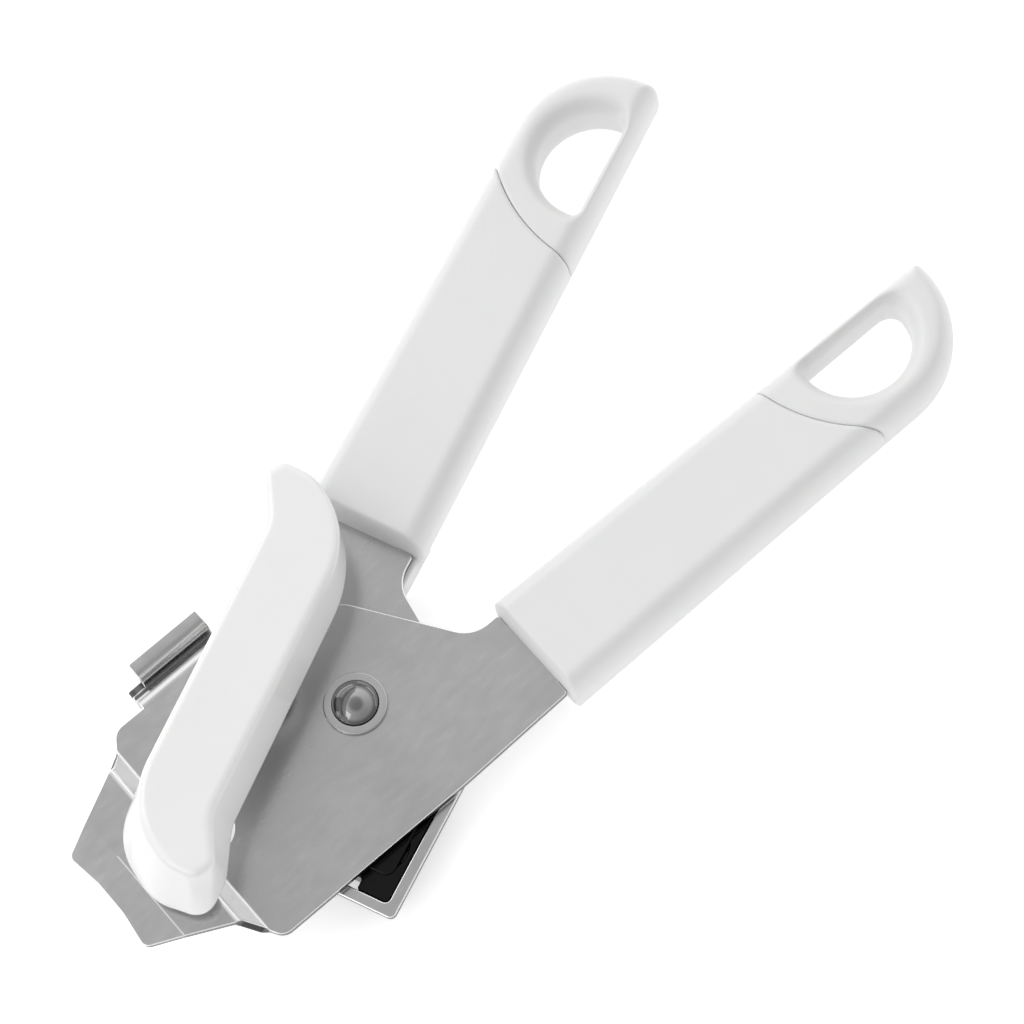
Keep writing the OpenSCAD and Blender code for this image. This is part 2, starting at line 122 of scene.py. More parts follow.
def rounded(corners: Sequence[Corner], step: float = 6.0, closed: bool = True) -> list[Point2]:
    """Return a line through corners given as (x, y, radius), with every corner rounded.

    Args:
        corners: The corners in order.
        step: Largest angle between two points of a fillet, in degrees.
        closed: Whether the line closes on itself.

    Returns:
        The points of the line.
    """
    plain = [(c[0], c[1]) for c in corners]
    count = len(plain)
    points: list[Point2] = []
    for i, corner in enumerate(corners):
        if not closed and i in (0, count - 1):
            points.append(plain[i])
        else:
            points += round_corner(plain[i - 1], plain[i], plain[(i + 1) % count], corner[2], step)
    return points


def arc(centre: Point2, radius: float, start: float, end: float, count: int) -> list[Point2]:
    """Return count + 1 points along an arc, with its angles in degrees."""
    angles = [math.radians(start + (end - start) * k / count) for k in range(count + 1)]
    return [(centre[0] + radius * math.cos(t), centre[1] + radius * math.sin(t)) for t in angles]


def full_circle(centre: Point2, radius: float) -> list[Point2]:
    """Return a circle's points, in steps of 7.5 degrees."""
    return arc(centre, radius, 0.0, 352.5, 47)


def inside_distance(x: np.ndarray, y: np.ndarray, outline: Sequence[Point2]) -> np.ndarray:
    """Return each point's distance inside a closed outline, below zero outside it.

    Args:
        x: The points' x.
        y: The points' y.
        outline: The outline's points in order.

    Returns:
        The signed distances, in the outline's unit.
    """
    best = np.full(x.shape, np.inf)
    odd = np.zeros(x.shape, bool)
    for (ax, ay), (bx, by) in zip(outline, list(outline[1:]) + [outline[0]]):
        ex, ey = bx - ax, by - ay
        t = np.clip(((x - ax) * ex + (y - ay) * ey) / max(ex * ex + ey * ey, 1e-12), 0, 1)
        best = np.minimum(best, (x - ax - t * ex) ** 2 + (y - ay - t * ey) ** 2)
        if ay != by:
            crosses = ((ay > y) != (by > y)) & (x < ax + (y - ay) * ex / (by - ay))
            odd ^= crosses
    return np.where(odd, 1.0, -1.0) * np.sqrt(best)


def soft_meet(a: np.ndarray, b: np.ndarray, radius: float | np.ndarray) -> np.ndarray:
    """Intersect two fields that are below zero inside, with a rounded edge.

    Args:
        a: The first field, a distance.
        b: The second field, a distance.
        radius: Radius of the edge where the two surfaces meet.

    Returns:
        The field of what both hold.
    """
    u, v = np.maximum(a + radius, 0), np.maximum(b + radius, 0)
    return np.minimum(-radius, np.maximum(a, b)) + np.sqrt(u * u + v * v)


def eased_edge(depth: np.ndarray, below: np.ndarray, wide: float, tall: float) -> np.ndarray:
    """Return the field of an edge with an elliptical section.

    Args:
        depth: Distance inside the side wall.
        below: Distance below the top face or above the bottom face.
        wide: Reach of the rounding across the top face.
        tall: Reach of the rounding down the side wall.

    Returns:
        About the distance to the eased surface, below zero inside it.
    """
    u, v = np.maximum(1 - depth / wide, 0), np.maximum(1 - below / tall, 0)
    length = np.sqrt(u * u + v * v)
    slope = np.sqrt((u / wide) ** 2 + (v / tall) ** 2)
    near = (length - 1) * length / np.maximum(slope, 1e-9)
    return np.where(length > 1e-6, near, -np.minimum(depth, below))


# ---------------------------------------------------------------------------
# Mesh makers
# ---------------------------------------------------------------------------


@dataclass
class Placement:
    """Where a form drawn on the front arm goes in the row frame."""

    mirrored: bool = False
    turn_degrees: float = 0.0
    shift: Point2 = (0.0, 0.0)

    def matrix(self) -> Matrix:
        """Return the matrix that takes millimetres of the form's own frame to the row frame."""
        flip = Matrix.Diagonal((1.0, -1.0 if self.mirrored else 1.0, 1.0, 1.0))
        turn = Matrix.Rotation(math.radians(self.turn_degrees), 4, "Z")
        move = Matrix.Translation((self.shift[0], self.shift[1], 0.0))
        return Matrix.Scale(MM, 4) @ move @ turn @ flip

    def put(self, mesh: bpy.types.Mesh) -> None:
        """Move a mesh to its place, with its faces still looking outwards."""
        mesh.transform(self.matrix())
        if self.mirrored:
            mesh.flip_normals()
        mesh.update()


def new_object(name: str, mesh: bpy.types.Mesh) -> bpy.types.Object:
    """Return a linked object that shows a mesh."""
    mesh.name = name
    obj = bpy.data.objects.new(name, mesh)
    bpy.context.scene.collection.objects.link(obj)
    return obj


def apply_modifiers(obj: bpy.types.Object) -> None:
    """Replace an object's mesh by the one its modifiers make."""
    bpy.context.view_layer.update()
    shown = obj.evaluated_get(bpy.context.evaluated_depsgraph_get())
    made = bpy.data.meshes.new_from_object(shown)
    made.name = obj.name
    obj.modifiers.clear()
    obj.data = made


def round_edges(obj: bpy.types.Object, width: float, segments: int = 2, limit: float = 32.0) -> None:
    """Round an object's sharp edges and smooth its shading.

    Args:
        obj: The object, in metres.
        width: Width of the rounding in millimetres.
        segments: Number of steps across the rounding.
        limit: Smallest angle of an edge that is rounded, in degrees.
    """
    bevel = obj.modifiers.new("edges", "BEVEL")
    bevel.width = width * MM
    bevel.segments = segments
    bevel.limit_method = "ANGLE"
    bevel.angle_limit = math.radians(limit)
    bevel.use_clamp_overlap = False
    bevel.miter_outer = "MITER_ARC"
    apply_modifiers(obj)
    obj.data.polygons.foreach_set("use_smooth", [True] * len(obj.data.polygons))
    obj.data.set_sharp_from_angle(angle=math.radians(50.0))
    weighted = obj.modifiers.new("normals", "WEIGHTED_NORMAL")
    weighted.weight = 80
    weighted.keep_sharp = True
    apply_modifiers(obj)


class Moulding:
    """A closed moulded form, described by a field that is below zero inside it."""

    low: tuple[float, float, float] = (0.0, 0.0, 0.0)
    high: tuple[float, float, float] = (1.0, 1.0, 1.0)
    step: float = 0.5

    def plan(self, x: np.ndarray, y: np.ndarray) -> Terms:
        """Return the terms of the field that depend on the place in plan only."""
        raise NotImplementedError

    def level(self, terms: Terms, z: np.ndarray) -> np.ndarray:
        """Return the field from its plan terms and the height."""
        raise NotImplementedError

    def value(self, p: np.ndarray) -> np.ndarray:
        """Return the field at points given as rows."""
        return self.level(self.plan(p[:, 0], p[:, 1]), p[:, 2])

    def slope(self, p: np.ndarray) -> np.ndarray:
        """Return the field's gradient at points given as rows."""
        h = 0.02
        rows = []
        for axis in range(3):
            offset = np.zeros(3)
            offset[axis] = h
            rows.append((self.value(p + offset) - self.value(p - offset)) / (2 * h))
        return np.stack(rows, axis=1)

    def mesh(self, name: str, place: Placement) -> bpy.types.Object:
        """Build the form's surface.

        Args:
            name: Name of the object.
            place: Where the form goes.

        Returns:
            The object, in metres.
        """
        low = np.array(self.low) - 1.5 * self.step
        counts = [int(math.ceil((h - l) / self.step)) + 4 for l, h in zip(self.low, self.high)]
        axes = [low[i] + self.step * np.arange(counts[i]) for i in range(3)]
        gx, gy = np.meshgrid(axes[0], axes[1], indexing="ij")
        terms = tuple(t[:, :, None] for t in self.plan(gx, gy))
        field = self.level(terms, axes[2][None, None, :])
        points, quads = surface_net(field, low, self.step)
        for _ in range(3):
            slope = self.slope(points)
            square = np.maximum((slope**2).sum(axis=1), 0.05)
            move = np.clip(self.value(points) / square, -self.step / 2, self.step / 2)
            points = points - slope * move[:, None]
        mesh = bpy.data.meshes.new(name)
        mesh.from_pydata(points.tolist(), [], quads.tolist())
        mesh.polygons.foreach_set("use_smooth", [True] * len(mesh.polygons))
        place.put(mesh)
        return new_object(name, mesh)


def surface_net(field: np.ndarray, low: np.ndarray, step: float) -> tuple[np.ndarray, np.ndarray]:
    """Mesh the zero surface of a field sampled on a grid.

    Args:
        field: Samples, below zero inside.
        low: Place of the first sample.
        step: Distance between samples.

    Returns:
        The vertices as rows and the quads as rows of vertex numbers, looking outwards.
    """
    inside = field < 0
    shape = tuple(n - 1 for n in field.shape)
    total = np.zeros(shape + (3,))
    found = np.zeros(shape)
    crossings = []
    for axis in range(3):
        here = [slice(None)] * 3
        there = [slice(None)] * 3
        here[axis], there[axis] = slice(0, -1), slice(1, None)
        a, b = field[tuple(here)], field[tuple(there)]
        active = inside[tuple(here)] != inside[tuple(there)]
        share = np.where(active, a / np.where(active, a - b, 1.0), 0.0)
        place = np.stack(np.meshgrid(*[np.arange(n, dtype=float) for n in a.shape], indexing="ij"), axis=-1)
        place[..., axis] += share
        place *= active[..., None]
        others = [k for k in range(3) if k != axis]
        for i in (0, 1):
            for j in (0, 1):
                cut = [slice(None)] * 3
                cut[others[0]] = slice(i, i + shape[others[0]])
                cut[others[1]] = slice(j, j + shape[others[1]])
                total += place[tuple(cut)]
                found += active[tuple(cut)]
        crossings.append((axis, others, active, inside[tuple(here)]))
    used = found > 0
    number = np.full(shape, -1)
    number[used] = np.arange(int(used.sum()))
    points = low + step * total[used] / found[used][:, None]
    quads = []
    for axis, others, active, starts_inside in crossings:
        spots = np.argwhere(active)
        for forward in (True, False):
            chosen = spots[starts_inside[active] == forward]
            ring = []
            for i, j in ((1, 1), (0, 1), (0, 0), (1, 0)):
                cell = chosen.copy()
                cell[:, others[0]] -= i
                cell[:, others[1]] -= j
                ring.append(number[cell[:, 0], cell[:, 1], cell[:, 2]])
            quad = np.stack(ring, axis=1)
            quads.append(quad if forward == (axis != 1) else quad[:, ::-1])
    return points, np.concatenate(quads)


def signed_area(loop: Sequence[Point2]) -> float:
    """Return a loop's area, above zero when it runs anticlockwise."""
    return sum(ax * by - bx * ay for (ax, ay), (bx, by) in zip(loop, list(loop[1:]) + [loop[0]])) / 2


def tidy_loop(loop: Sequence[Point2], anticlockwise: bool) -> np.ndarray:
    """Return a loop without repeated points, running the given way round."""
    kept = [p for i, p in enumerate(loop) if math.dist(p, loop[i - 1]) > 1e-4]
    if (signed_area(kept) > 0) != anticlockwise:
        kept.reverse()
    return np.array(kept)


def left_normals(loop: np.ndarray) -> tuple[np.ndarray, np.ndarray]:
    """Return each point's direction to the left of a closed loop, and its mitre length."""
    ahead = np.roll(loop, -1, axis=0) - loop
    ahead /= np.linalg.norm(ahead, axis=1)[:, None]
    normal = np.column_stack([-ahead[:, 1], ahead[:, 0]])
    middle = normal + np.roll(normal, 1, axis=0)
    middle /= np.linalg.norm(middle, axis=1)[:, None]
    return middle, 1 / np.maximum((middle * normal).sum(axis=1), 0.35)


@dataclass
class PressedSheet:
    """A part cut from sheet with rounded edges, and folded.

    The blank is drawn flat. fold takes points of the blank to the middle of the sheet.
    Its bands are the stretches of the folds that get a painted highlight: start x, end x and highest y.
    """

    thickness: float
    blank: list[Point2]
    holes: list[list[Point2]]
    fold: Callable[[np.ndarray], np.ndarray]
    lines_x: Sequence[float] = ()
    lines_y: Sequence[float] = ()
    edge: float = 0.28
    segments: int = 3
    highlight_bands: Sequence[tuple[float, float, float]] = ()

    def build(self, name: str, place: Placement) -> bpy.types.Object:
        """Cut, thicken and fold the sheet.

        Args:
            name: Name of the object.
            place: Where the part goes.

        Returns:
            The object, in metres.
        """
        work = bmesh.new()
        tilt = work.verts.layers.float_vector.new("tilt")
        rim = work.verts.layers.float.new("rim")
        self._raise_plate(work, tilt, rim)
        for axis, lines in ((0, self.lines_x), (1, self.lines_y)):
            normal = Vector((1.0, 0.0, 0.0)) if axis == 0 else Vector((0.0, 1.0, 0.0))
            for at in lines:
                everything = work.verts[:] + work.edges[:] + work.faces[:]
                bmesh.ops.bisect_plane(
                    work, geom=everything, dist=1e-5, plane_co=normal * at, plane_no=normal)
        # The bands get the rim mask of a rounded edge, so the steel paints a highlight on them.
        for vert in work.verts:
            if any(a - 1e-3 <= vert.co.x <= b + 1e-3 and vert.co.y < top for a, b, top in self.highlight_bands):
                vert[rim] = max(vert[rim], 0.5)
        flat = np.array([tuple(v.co) for v in work.verts])
        lean = np.array([tuple(v[tilt]) for v in work.verts])
        points, normals = self._folded(flat, lean)
        for vert, spot in zip(work.verts, points):
            vert.co = Vector(spot)
        mesh = bpy.data.meshes.new(name)
        work.to_mesh(mesh)
        work.free()
        mesh.attributes.remove(mesh.attributes["tilt"])
        place.put(mesh)
        turn = np.array(place.matrix().to_3x3()) / MM
        mesh.polygons.foreach_set("use_smooth", [True] * len(mesh.polygons))
        mesh.normals_split_custom_set_from_vertices((normals @ turn.T).tolist())
        return new_object(name, mesh)

    def _raise_plate(self, work: bmesh.types.BMesh, tilt: bmesh.types.BMLayerItem,
                     rim: bmesh.types.BMLayerItem) -> None:
        """Make the flat plate as a closed solid with rounded edges."""
        outer = tidy_loop(self.blank, True)
        loops = [outer] + [tidy_loop(h, False) for h in self.holes]
        half, edge = self.thickness / 2, self.edge
        angles = [math.pi / 2 * k / self.segments for k in range(self.segments + 1)]
        section = [(edge * (1 - math.sin(t)), half - edge * (1 - math.cos(t)), t) for t in angles]
        section += [(o, -h, math.pi - t) for o, h, t in reversed(section)]
        top_loops, bottom_loops = [], []
        for loop in loops:
            inward, mitre = left_normals(loop)
            rings = []
            for offset, height, angle in section:
                spots = loop + inward * (mitre * offset)[:, None]
                ring = []
                for spot, side in zip(spots, inward):
                    vert = work.verts.new((spot[0], spot[1], height))
                    out = -side * math.sin(angle)
                    vert[tilt] = Vector((out[0], out[1], math.cos(angle)))
                    # The rim mask runs from 0 on the flat faces to 1 on the cut face; the steel paints
                    # highlight and shade from it.
                    vert[rim] = math.sin(angle)
                    ring.append(vert)
                rings.append(ring)
            for upper, lower in zip(rings, rings[1:]):
                for k in range(len(loop)):
                    n = (k + 1) % len(loop)
                    work.faces.new((upper[k], lower[k], lower[n], upper[n]))
            top_loops.append(rings[0])
            bottom_loops.append(rings[-1])
        self._fill(work, top_loops, False)
        self._fill(work, bottom_loops, True)

    def _fill(self, work: bmesh.types.BMesh, loops: list[list[bmesh.types.BMVert]], below: bool) -> None:
        """Fill the flat face between an outer loop and the holes' loops."""
        verts = [v for loop in loops for v in loop]
        edges: list[tuple[int, int]] = []
        for loop in loops:
            first = len(edges)
            edges += [(first + k, first + (k + 1) % len(loop)) for k in range(len(loop))]
        spots, _, faces, sources, *_ = delaunay_2d_cdt([v.co.xy for v in verts], edges, [], 1, 1e-7)
        middles = np.array([sum((spots[i] for i in face), Vector((0.0, 0.0))) / len(face) for face in faces])
        solid = inside_distance(middles[:, 0], middles[:, 1], [tuple(v.co.xy) for v in loops[0]]) > 0
        for loop in loops[1:]:
            solid &= inside_distance(middles[:, 0], middles[:, 1], [tuple(v.co.xy) for v in loop]) < 0
        for face, kept in zip(faces, solid):
            if kept:
                ring = [verts[sources[i][0]] for i in face]
                work.faces.new(ring[::-1] if below else ring)

    def _folded(self, flat: np.ndarray, lean: np.ndarray) -> tuple[np.ndarray, np.ndarray]:
        """Fold the plate's points and their normals.

        Args:
            flat: Points of the flat plate, with their height from its middle.
            lean: Normals of the flat plate.

        Returns:
            The folded points and their normals.
        """
        h = 1e-4
        plan = flat[:, :2]
        along_x = self.fold(plan + (h, 0.0)) - self.fold(plan - (h, 0.0))
        along_y = self.fold(plan + (0.0, h)) - self.fold(plan - (0.0, h))
        along_x /= np.linalg.norm(along_x, axis=1)[:, None]
        along_y /= np.linalg.norm(along_y, axis=1)[:, None]
        up = np.cross(along_x, along_y)
        up /= np.linalg.norm(up, axis=1)[:, None]
        points = self.fold(plan) + up * flat[:, 2:]
        normals = along_x * lean[:, :1] + along_y * lean[:, 1:2] + up * lean[:, 2:]
        return points, normals / np.linalg.norm(normals, axis=1)[:, None]


def turned_part(name: str, profile: Sequence[Point2], centre: Point2, edge: float,
                count: int = 96) -> bpy.types.Object:
    """Turn a closed profile about a vertical axis.

    Args:
        name: Name of the object.
        profile: The profile's corners as (radius, height), in millimetres, in order.
        centre: The axis in plan, in millimetres.
        edge: Width of the rounding of its edges, in millimetres.
        count: Number of steps round the axis.

    Returns:
        The object, in metres.
    """
    work = bmesh.new()
    rings: list[list[bmesh.types.BMVert]] = []
    for radius, height in profile:
        if radius < 1e-6:
            rings.append([work.verts.new((0.0, 0.0, height))])
        else:
            rings.append(
                [work.verts.new((radius * math.cos(t), radius * math.sin(t), height))
                 for t in (2 * math.pi * k / count for k in range(count))]
            )
    for a, b in zip(rings, rings[1:] + rings[:1]):
        for k in range(count):
            n = (k + 1) % count
            if len(a) == 1 and len(b) == 1:
                break
            if len(a) == 1:
                work.faces.new((a[0], b[n], b[k]))
            elif len(b) == 1:
                work.faces.new((a[k], a[n], b[0]))
            else:
                work.faces.new((a[k], a[n], b[n], b[k]))
    bmesh.ops.recalc_face_normals(work, faces=work.faces[:])
    mesh = bpy.data.meshes.new(name)
    work.to_mesh(mesh)
    work.free()
    Placement(shift=centre).put(mesh)
    obj = new_object(name, mesh)
    round_edges(obj, edge)
    return obj


def block_part(name: str, outline: Sequence[Point2], low: float, high: float, place: Placement,
               edge: float, holes: Sequence[Sequence[Point2]] = ()) -> bpy.types.Object:
    """Raise an outline into a block with rounded edges.

    Args:
        name: Name of the object.
        outline: The outline in plan, in millimetres.
        low: Height of its underside, in millimetres.
        high: Height of its top, in millimetres.
        place: Where the block goes.
        edge: Width of the rounding of its edges, in millimetres.
        holes: Outlines of through holes.

    Returns:
        The object, in metres.
    """
    middle = (low + high) / 2
    sheet = PressedSheet(
        thickness=high - low,
        blank=list(outline),
        holes=[list(h) for h in holes],
        fold=lambda p: np.column_stack([p, np.full(len(p), middle)]),
        edge=edge,
    )
    return sheet.build(name, place)


def refined_copy(name: str, node: str, edge: float) -> bpy.types.Object:
    """Copy a CAD node into a new piece with clean faces and rounded edges.

    Args:
        name: Name of the new object.
        node: Name of the CAD node.
        edge: Width of the rounding of its edges, in millimetres.

    Returns:
        The new object.
    """
    work = bmesh.new()
    work.from_mesh(frame["nodes"][node].data)
    bmesh.ops.remove_doubles(work, verts=work.verts[:], dist=1e-6)
    bmesh.ops.dissolve_limit(work, angle_limit=math.radians(1.0), verts=work.verts[:], edges=work.edges[:])
    mesh = bpy.data.meshes.new(name)
    work.to_mesh(mesh)
    work.free()
    obj = new_object(name, mesh)
    round_edges(obj, edge)
    return obj


# ---------------------------------------------------------------------------
# Finishes
# ---------------------------------------------------------------------------


class NodeBench:
    """A material's node tree with short calls for the nodes used here."""

    def __init__(self, name: str) -> None:
        """Start a material with one Principled shader."""
        self.material = bpy.data.materials.new(name)
        self.material.use_nodes = True
        self.tree = self.material.node_tree
        self.shader = next(n for n in self.tree.nodes if n.type == "BSDF_PRINCIPLED")
        self.place = self.tree.nodes.new("ShaderNodeTexCoord")

    def link(self, source: bpy.types.NodeSocket, target: bpy.types.NodeSocket) -> None:
        """Join two sockets."""
        self.tree.links.new(source, target)

    def noise(self, scale: float, detail: float, stretch: tuple[float, float, float] = (1.0, 1.0, 1.0),
              turn: float = 0.0) -> bpy.types.NodeSocket:
        """Return a noise value that is fixed to the object.

        Args:
            scale: Features per metre.
            detail: Number of finer layers.
            stretch: Scale along each axis.
            turn: Turn of the pattern about the vertical, in degrees.

        Returns:
            The noise's value socket.
        """
        mapping = self.tree.nodes.new("ShaderNodeMapping")
        mapping.inputs["Scale"].default_value = stretch
        mapping.inputs["Rotation"].default_value = (0.0, 0.0, math.radians(turn))
        self.link(self.place.outputs["Object"], mapping.inputs["Vector"])
        node = self.tree.nodes.new("ShaderNodeTexNoise")
        node.inputs["Scale"].default_value = scale
        node.inputs["Detail"].default_value = detail
        self.link(mapping.outputs["Vector"], node.inputs["Vector"])
        return node.outputs["Fac"]

    def spread(self, source: bpy.types.NodeSocket, low: float, high: float,
               start: float = 0.3, end: float = 0.7) -> bpy.types.NodeSocket:
        """Return a value mapped from start..end to low..high."""
        node = self.tree.nodes.new("ShaderNodeMapRange")
        for name, value in (("From Min", start), ("From Max", end), ("To Min", low), ("To Max", high)):
            node.inputs[name].default_value = value
        self.link(source, node.inputs["Value"])
        return node.outputs["Result"]

    def tint(self, source: bpy.types.NodeSocket, dark: float, light: float,
             start: float = 0.3, end: float = 0.7) -> bpy.types.NodeSocket:
        """Return a grey that runs from dark to light over start..end."""
        ramp = self.tree.nodes.new("ShaderNodeValToRGB")
        for stop, place, grey in zip(ramp.color_ramp.elements, (start, end), (dark, light)):
            stop.position = place
            stop.color = (grey, grey, grey, 1.0)
        self.link(source, ramp.inputs["Fac"])
        return ramp.outputs["Color"]

    def paint_edge_highlight_and_shade(self, colour: bpy.types.NodeSocket, grey: float) -> bpy.types.NodeSocket:
        """Return a colour with a painted highlight on rounded cut edges and painted shade on the cut face."""
        rim = self.tree.nodes.new("ShaderNodeAttribute")
        rim.attribute_name = "rim"
        # Painted highlight where the rim mask rises on the rounding, painted shade where it reaches the cut
        # face.
        for shade, start, end in ((grey, 0.05, 0.4), (0.12, 0.86, 0.99)):
            amount = self.spread(rim.outputs["Fac"], 0.0, 1.0, start, end)
            mix = self.tree.nodes.new("ShaderNodeMix")
            mix.data_type = "RGBA"
            self.link(amount, mix.inputs["Factor"])
            self.link(colour, mix.inputs["A"])
            mix.inputs["B"].default_value = (shade, shade, shade, 1.0)
            colour = mix.outputs["Result"]
        return colour

    def bump(self, height: bpy.types.NodeSocket, strength: float, distance: float,
             under: Optional[bpy.types.NodeSocket] = None) -> bpy.types.NodeSocket:
        """Return a normal disturbed by a height.

        Args:
            height: The height's socket.
            strength: Share of the effect.
            distance: Height of the relief, in millimetres.
            under: Normal that it starts from.

        Returns:
            The normal's socket.
        """
        node = self.tree.nodes.new("ShaderNodeBump")
        node.inputs["Strength"].default_value = strength
        node.inputs["Distance"].default_value = distance * MM
        self.link(height, node.inputs["Height"])
        if under is not None:
            self.link(under, node.inputs["Normal"])
        return node.outputs["Normal"]


@dataclass(frozen=True)
class SteelFinish:
    """Plated or bare steel: metallic and faintly mottled, with a painted highlight on rounded edges and
    painted shade on cut faces.
    """

    name: str
    dark: float
    light: float
    smooth: float
    rough: float
    edge_highlight_grey: float
    grain: float

    def build(self) -> bpy.types.Material:
        """Return the material."""
        bench = NodeBench(self.name)
        mottle = bench.noise(55.0, 4.0)
        colour = bench.tint(mottle, self.dark, self.light)
        # Painted highlight on rounded edges and painted shade on cut faces, from the rim mask.
        colour = bench.paint_edge_highlight_and_shade(colour, self.edge_highlight_grey)
        bench.link(colour, bench.shader.inputs["Base Color"])
        bench.shader.inputs["Metallic"].default_value = 1.0
        haze = bench.noise(190.0, 5.0, (1.0, 3.5, 1.0), 35.0)
        bench.link(bench.spread(haze, self.smooth, self.rough), bench.shader.inputs["Roughness"])
        rolled = bench.noise(900.0, 2.0, (1.0, 0.06, 1.0), 12.0)
        waves = bench.noise(38.0, 1.0)
        normal = bench.bump(waves, 0.25, 0.25)
        normal = bench.bump(rolled, self.grain, 0.02, normal)
        bench.link(normal, bench.shader.inputs["Normal"])
        return bench.material


@dataclass(frozen=True)
class PlasticFinish:
    """Moulded plastic with a fine skin and slightly uneven gloss."""

    name: str
    dark: float
    light: float
    smooth: float
    rough: float
    skin: float
    skin_scale: float
    coat: float
    scatter: float
    gloss: float

    def build(self) -> bpy.types.Material:
        """Return the material."""
        bench = NodeBench(self.name)
        shade = bench.tint(bench.noise(30.0, 3.0), self.dark, self.light)
        bench.link(shade, bench.shader.inputs["Base Color"])
        gloss = bench.spread(bench.noise(120.0, 4.0), self.smooth, self.rough)
        bench.link(gloss, bench.shader.inputs["Roughness"])
        bench.shader.inputs["Coat Weight"].default_value = self.coat
        bench.shader.inputs["Coat Roughness"].default_value = 0.06
        bench.shader.inputs["Specular IOR Level"].default_value = self.gloss
        bench.shader.inputs["Subsurface Weight"].default_value = self.scatter
        bench.shader.inputs["Subsurface Scale"].default_value = 0.002
        flow = bench.bump(bench.noise(45.0, 1.0), 0.15, 0.2)
        normal = bench.bump(bench.noise(self.skin_scale, 3.0), self.skin, 0.03, flow)
        bench.link(normal, bench.shader.inputs["Normal"])
        return bench.material


class Finishes:
    """The opener's materials, one for each slot of the record."""

    def __init__(self) -> None:
        """Make every material."""
        # The second-to-last number of each steel is the grey of its painted edge highlight.
        steels = (
            (Slot.PLATED, "plated_steel_sheet", 0.54, 0.61, 0.19, 0.28, 0.95, 0.12),
            (Slot.BRIGHT, "polished_steel", 0.27, 0.36, 0.05, 0.1, 0.6, 0.05),
            (Slot.WHEEL, "hardened_wheel_steel", 0.34, 0.46, 0.2, 0.36, 0.7, 0.25),
            (Slot.MAGNET, "sintered_magnet", 0.16, 0.24, 0.35, 0.5, 0.4, 0.3),
        )
        plastics = (
            (Slot.GRIP, "satin_white_plastic", 0.80, 0.82, 0.34, 0.44, 0.12, 2600.0, 0.0, 0.05, 0.5),
            (Slot.KEY, "glossy_white_plastic", 0.87, 0.89, 0.1, 0.18, 0.03, 1800.0, 0.35, 0.05, 0.5),
            (Slot.BLACK, "glossy_black_plastic", 0.002, 0.004, 0.1, 0.22, 0.2, 700.0, 0.0, 0.0, 0.22),
        )
        self.by_slot: dict[Slot, bpy.types.Material] = {
            slot: SteelFinish(*sizes).build() for slot, *sizes in steels}
        self.by_slot |= {slot: PlasticFinish(*sizes).build() for slot, *sizes in plastics}

    def dress(self, obj: bpy.types.Object, slot: Slot) -> None:
        """Give a new piece the finish of a slot."""
        obj.data.materials.clear()
        obj.data.materials.append(self.by_slot[slot])

    def dress_node(self, node: str, slot: Slot) -> None:
        """Give a CAD node the finish of a slot."""
        for place in frame["nodes"][node].material_slots:
            place.link = "OBJECT"
            place.material = self.by_slot[slot]


def settle(obj: bpy.types.Object, finishes: Finishes, slot: Slot, body: str, *nodes: str) -> bpy.types.Object:
    """Dress a piece, hang it on its body and let it stand for CAD nodes.

    Args:
        obj: The piece.
        finishes: The opener's materials.
        slot: Its material slot.
        body: The CAD body that it moves with.
        *nodes: The CAD nodes that it replaces.

    Returns:
        The piece.
    """
    finishes.dress(obj, slot)
    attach(obj, body)
    if nodes:
        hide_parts(*nodes)
    LOG.info("%s: %d faces on %s", obj.name, len(obj.data.polygons), body)
    return obj


# ---------------------------------------------------------------------------
# Handles
# ---------------------------------------------------------------------------


@dataclass
class HandleShape:
    """Sizes that a grip and its eye cap share, in millimetres, drawn on the front arm."""

    start: float = 34.0
    end_x: float = 127.5
    end_radius: float = 21.05
    width: float = 26.9
    thickness: float = 16.0
    inner_start: float = 2.9
    inner_end: float = 4.8
    ease_wide: float = 4.2
    ease_tall: float = 7.0
    tip_radius: float = 2.0
    lip_radius: float = 2.5
    lip_ease: float = 1.6
    seam_radius: float = 36.2
    seam_x: float = 140.0
    seam_y: float = 0.2
    seam_edge: float = 0.65
    eye_x: float = 126.5
    eye_y: float = -9.7
    eye_radius: float = 12.2
    eye_straight: float = -7.5
    eye_near_corner: float = 0.9
    eye_far_corner: float = 3.2
    eye_ease: float = 3.8
    eye_drop: float = 5.2

    def outline_depth(self, x: np.ndarray, y: np.ndarray) -> np.ndarray:
        """Return the distance inside the handle's plan outline."""
        end_y = self.end_radius - self.inner_start - self.width + 0.8
        fall = (self.inner_end - self.inner_start) / (self.end_x + self.end_radius - self.start)
        inner = -self.inner_start - fall * (x - self.start) - y
        rise = (end_y - self.end_radius + self.inner_start + self.width) / (self.end_x - self.start)
        outer = y + self.inner_start + self.width - rise * (x - self.start)
        disc = self.end_radius - np.hypot(x - self.end_x, y - end_y)
        outer = np.where(x > self.end_x, disc, outer)
        long_sides = -soft_meet(-inner, -outer, self.tip_radius)
        front = (x - self.start) * self.ease_wide / self.lip_ease
        return -soft_meet(-long_sides, -front, self.lip_radius)

    def seam_depth(self, x: np.ndarray, y: np.ndarray) -> np.ndarray:
        """Return the distance inside the seam's circle, on the cap's side."""
        return self.seam_radius - np.hypot(x - self.seam_x, y - self.seam_y)

    def eye_clearance(self, x: np.ndarray, y: np.ndarray) -> np.ndarray:
        """Return the distance from the wall of the hanging eye, into the plastic."""
        disc = self.eye_radius - np.hypot(x - self.eye_x, y - self.eye_y)
        far = np.clip((x - self.eye_x) / self.eye_radius, -0.5, 0.5) + 0.5
        corner = self.eye_near_corner + (self.eye_far_corner - self.eye_near_corner) * far
        return soft_meet(-disc, y - self.eye_straight, corner)


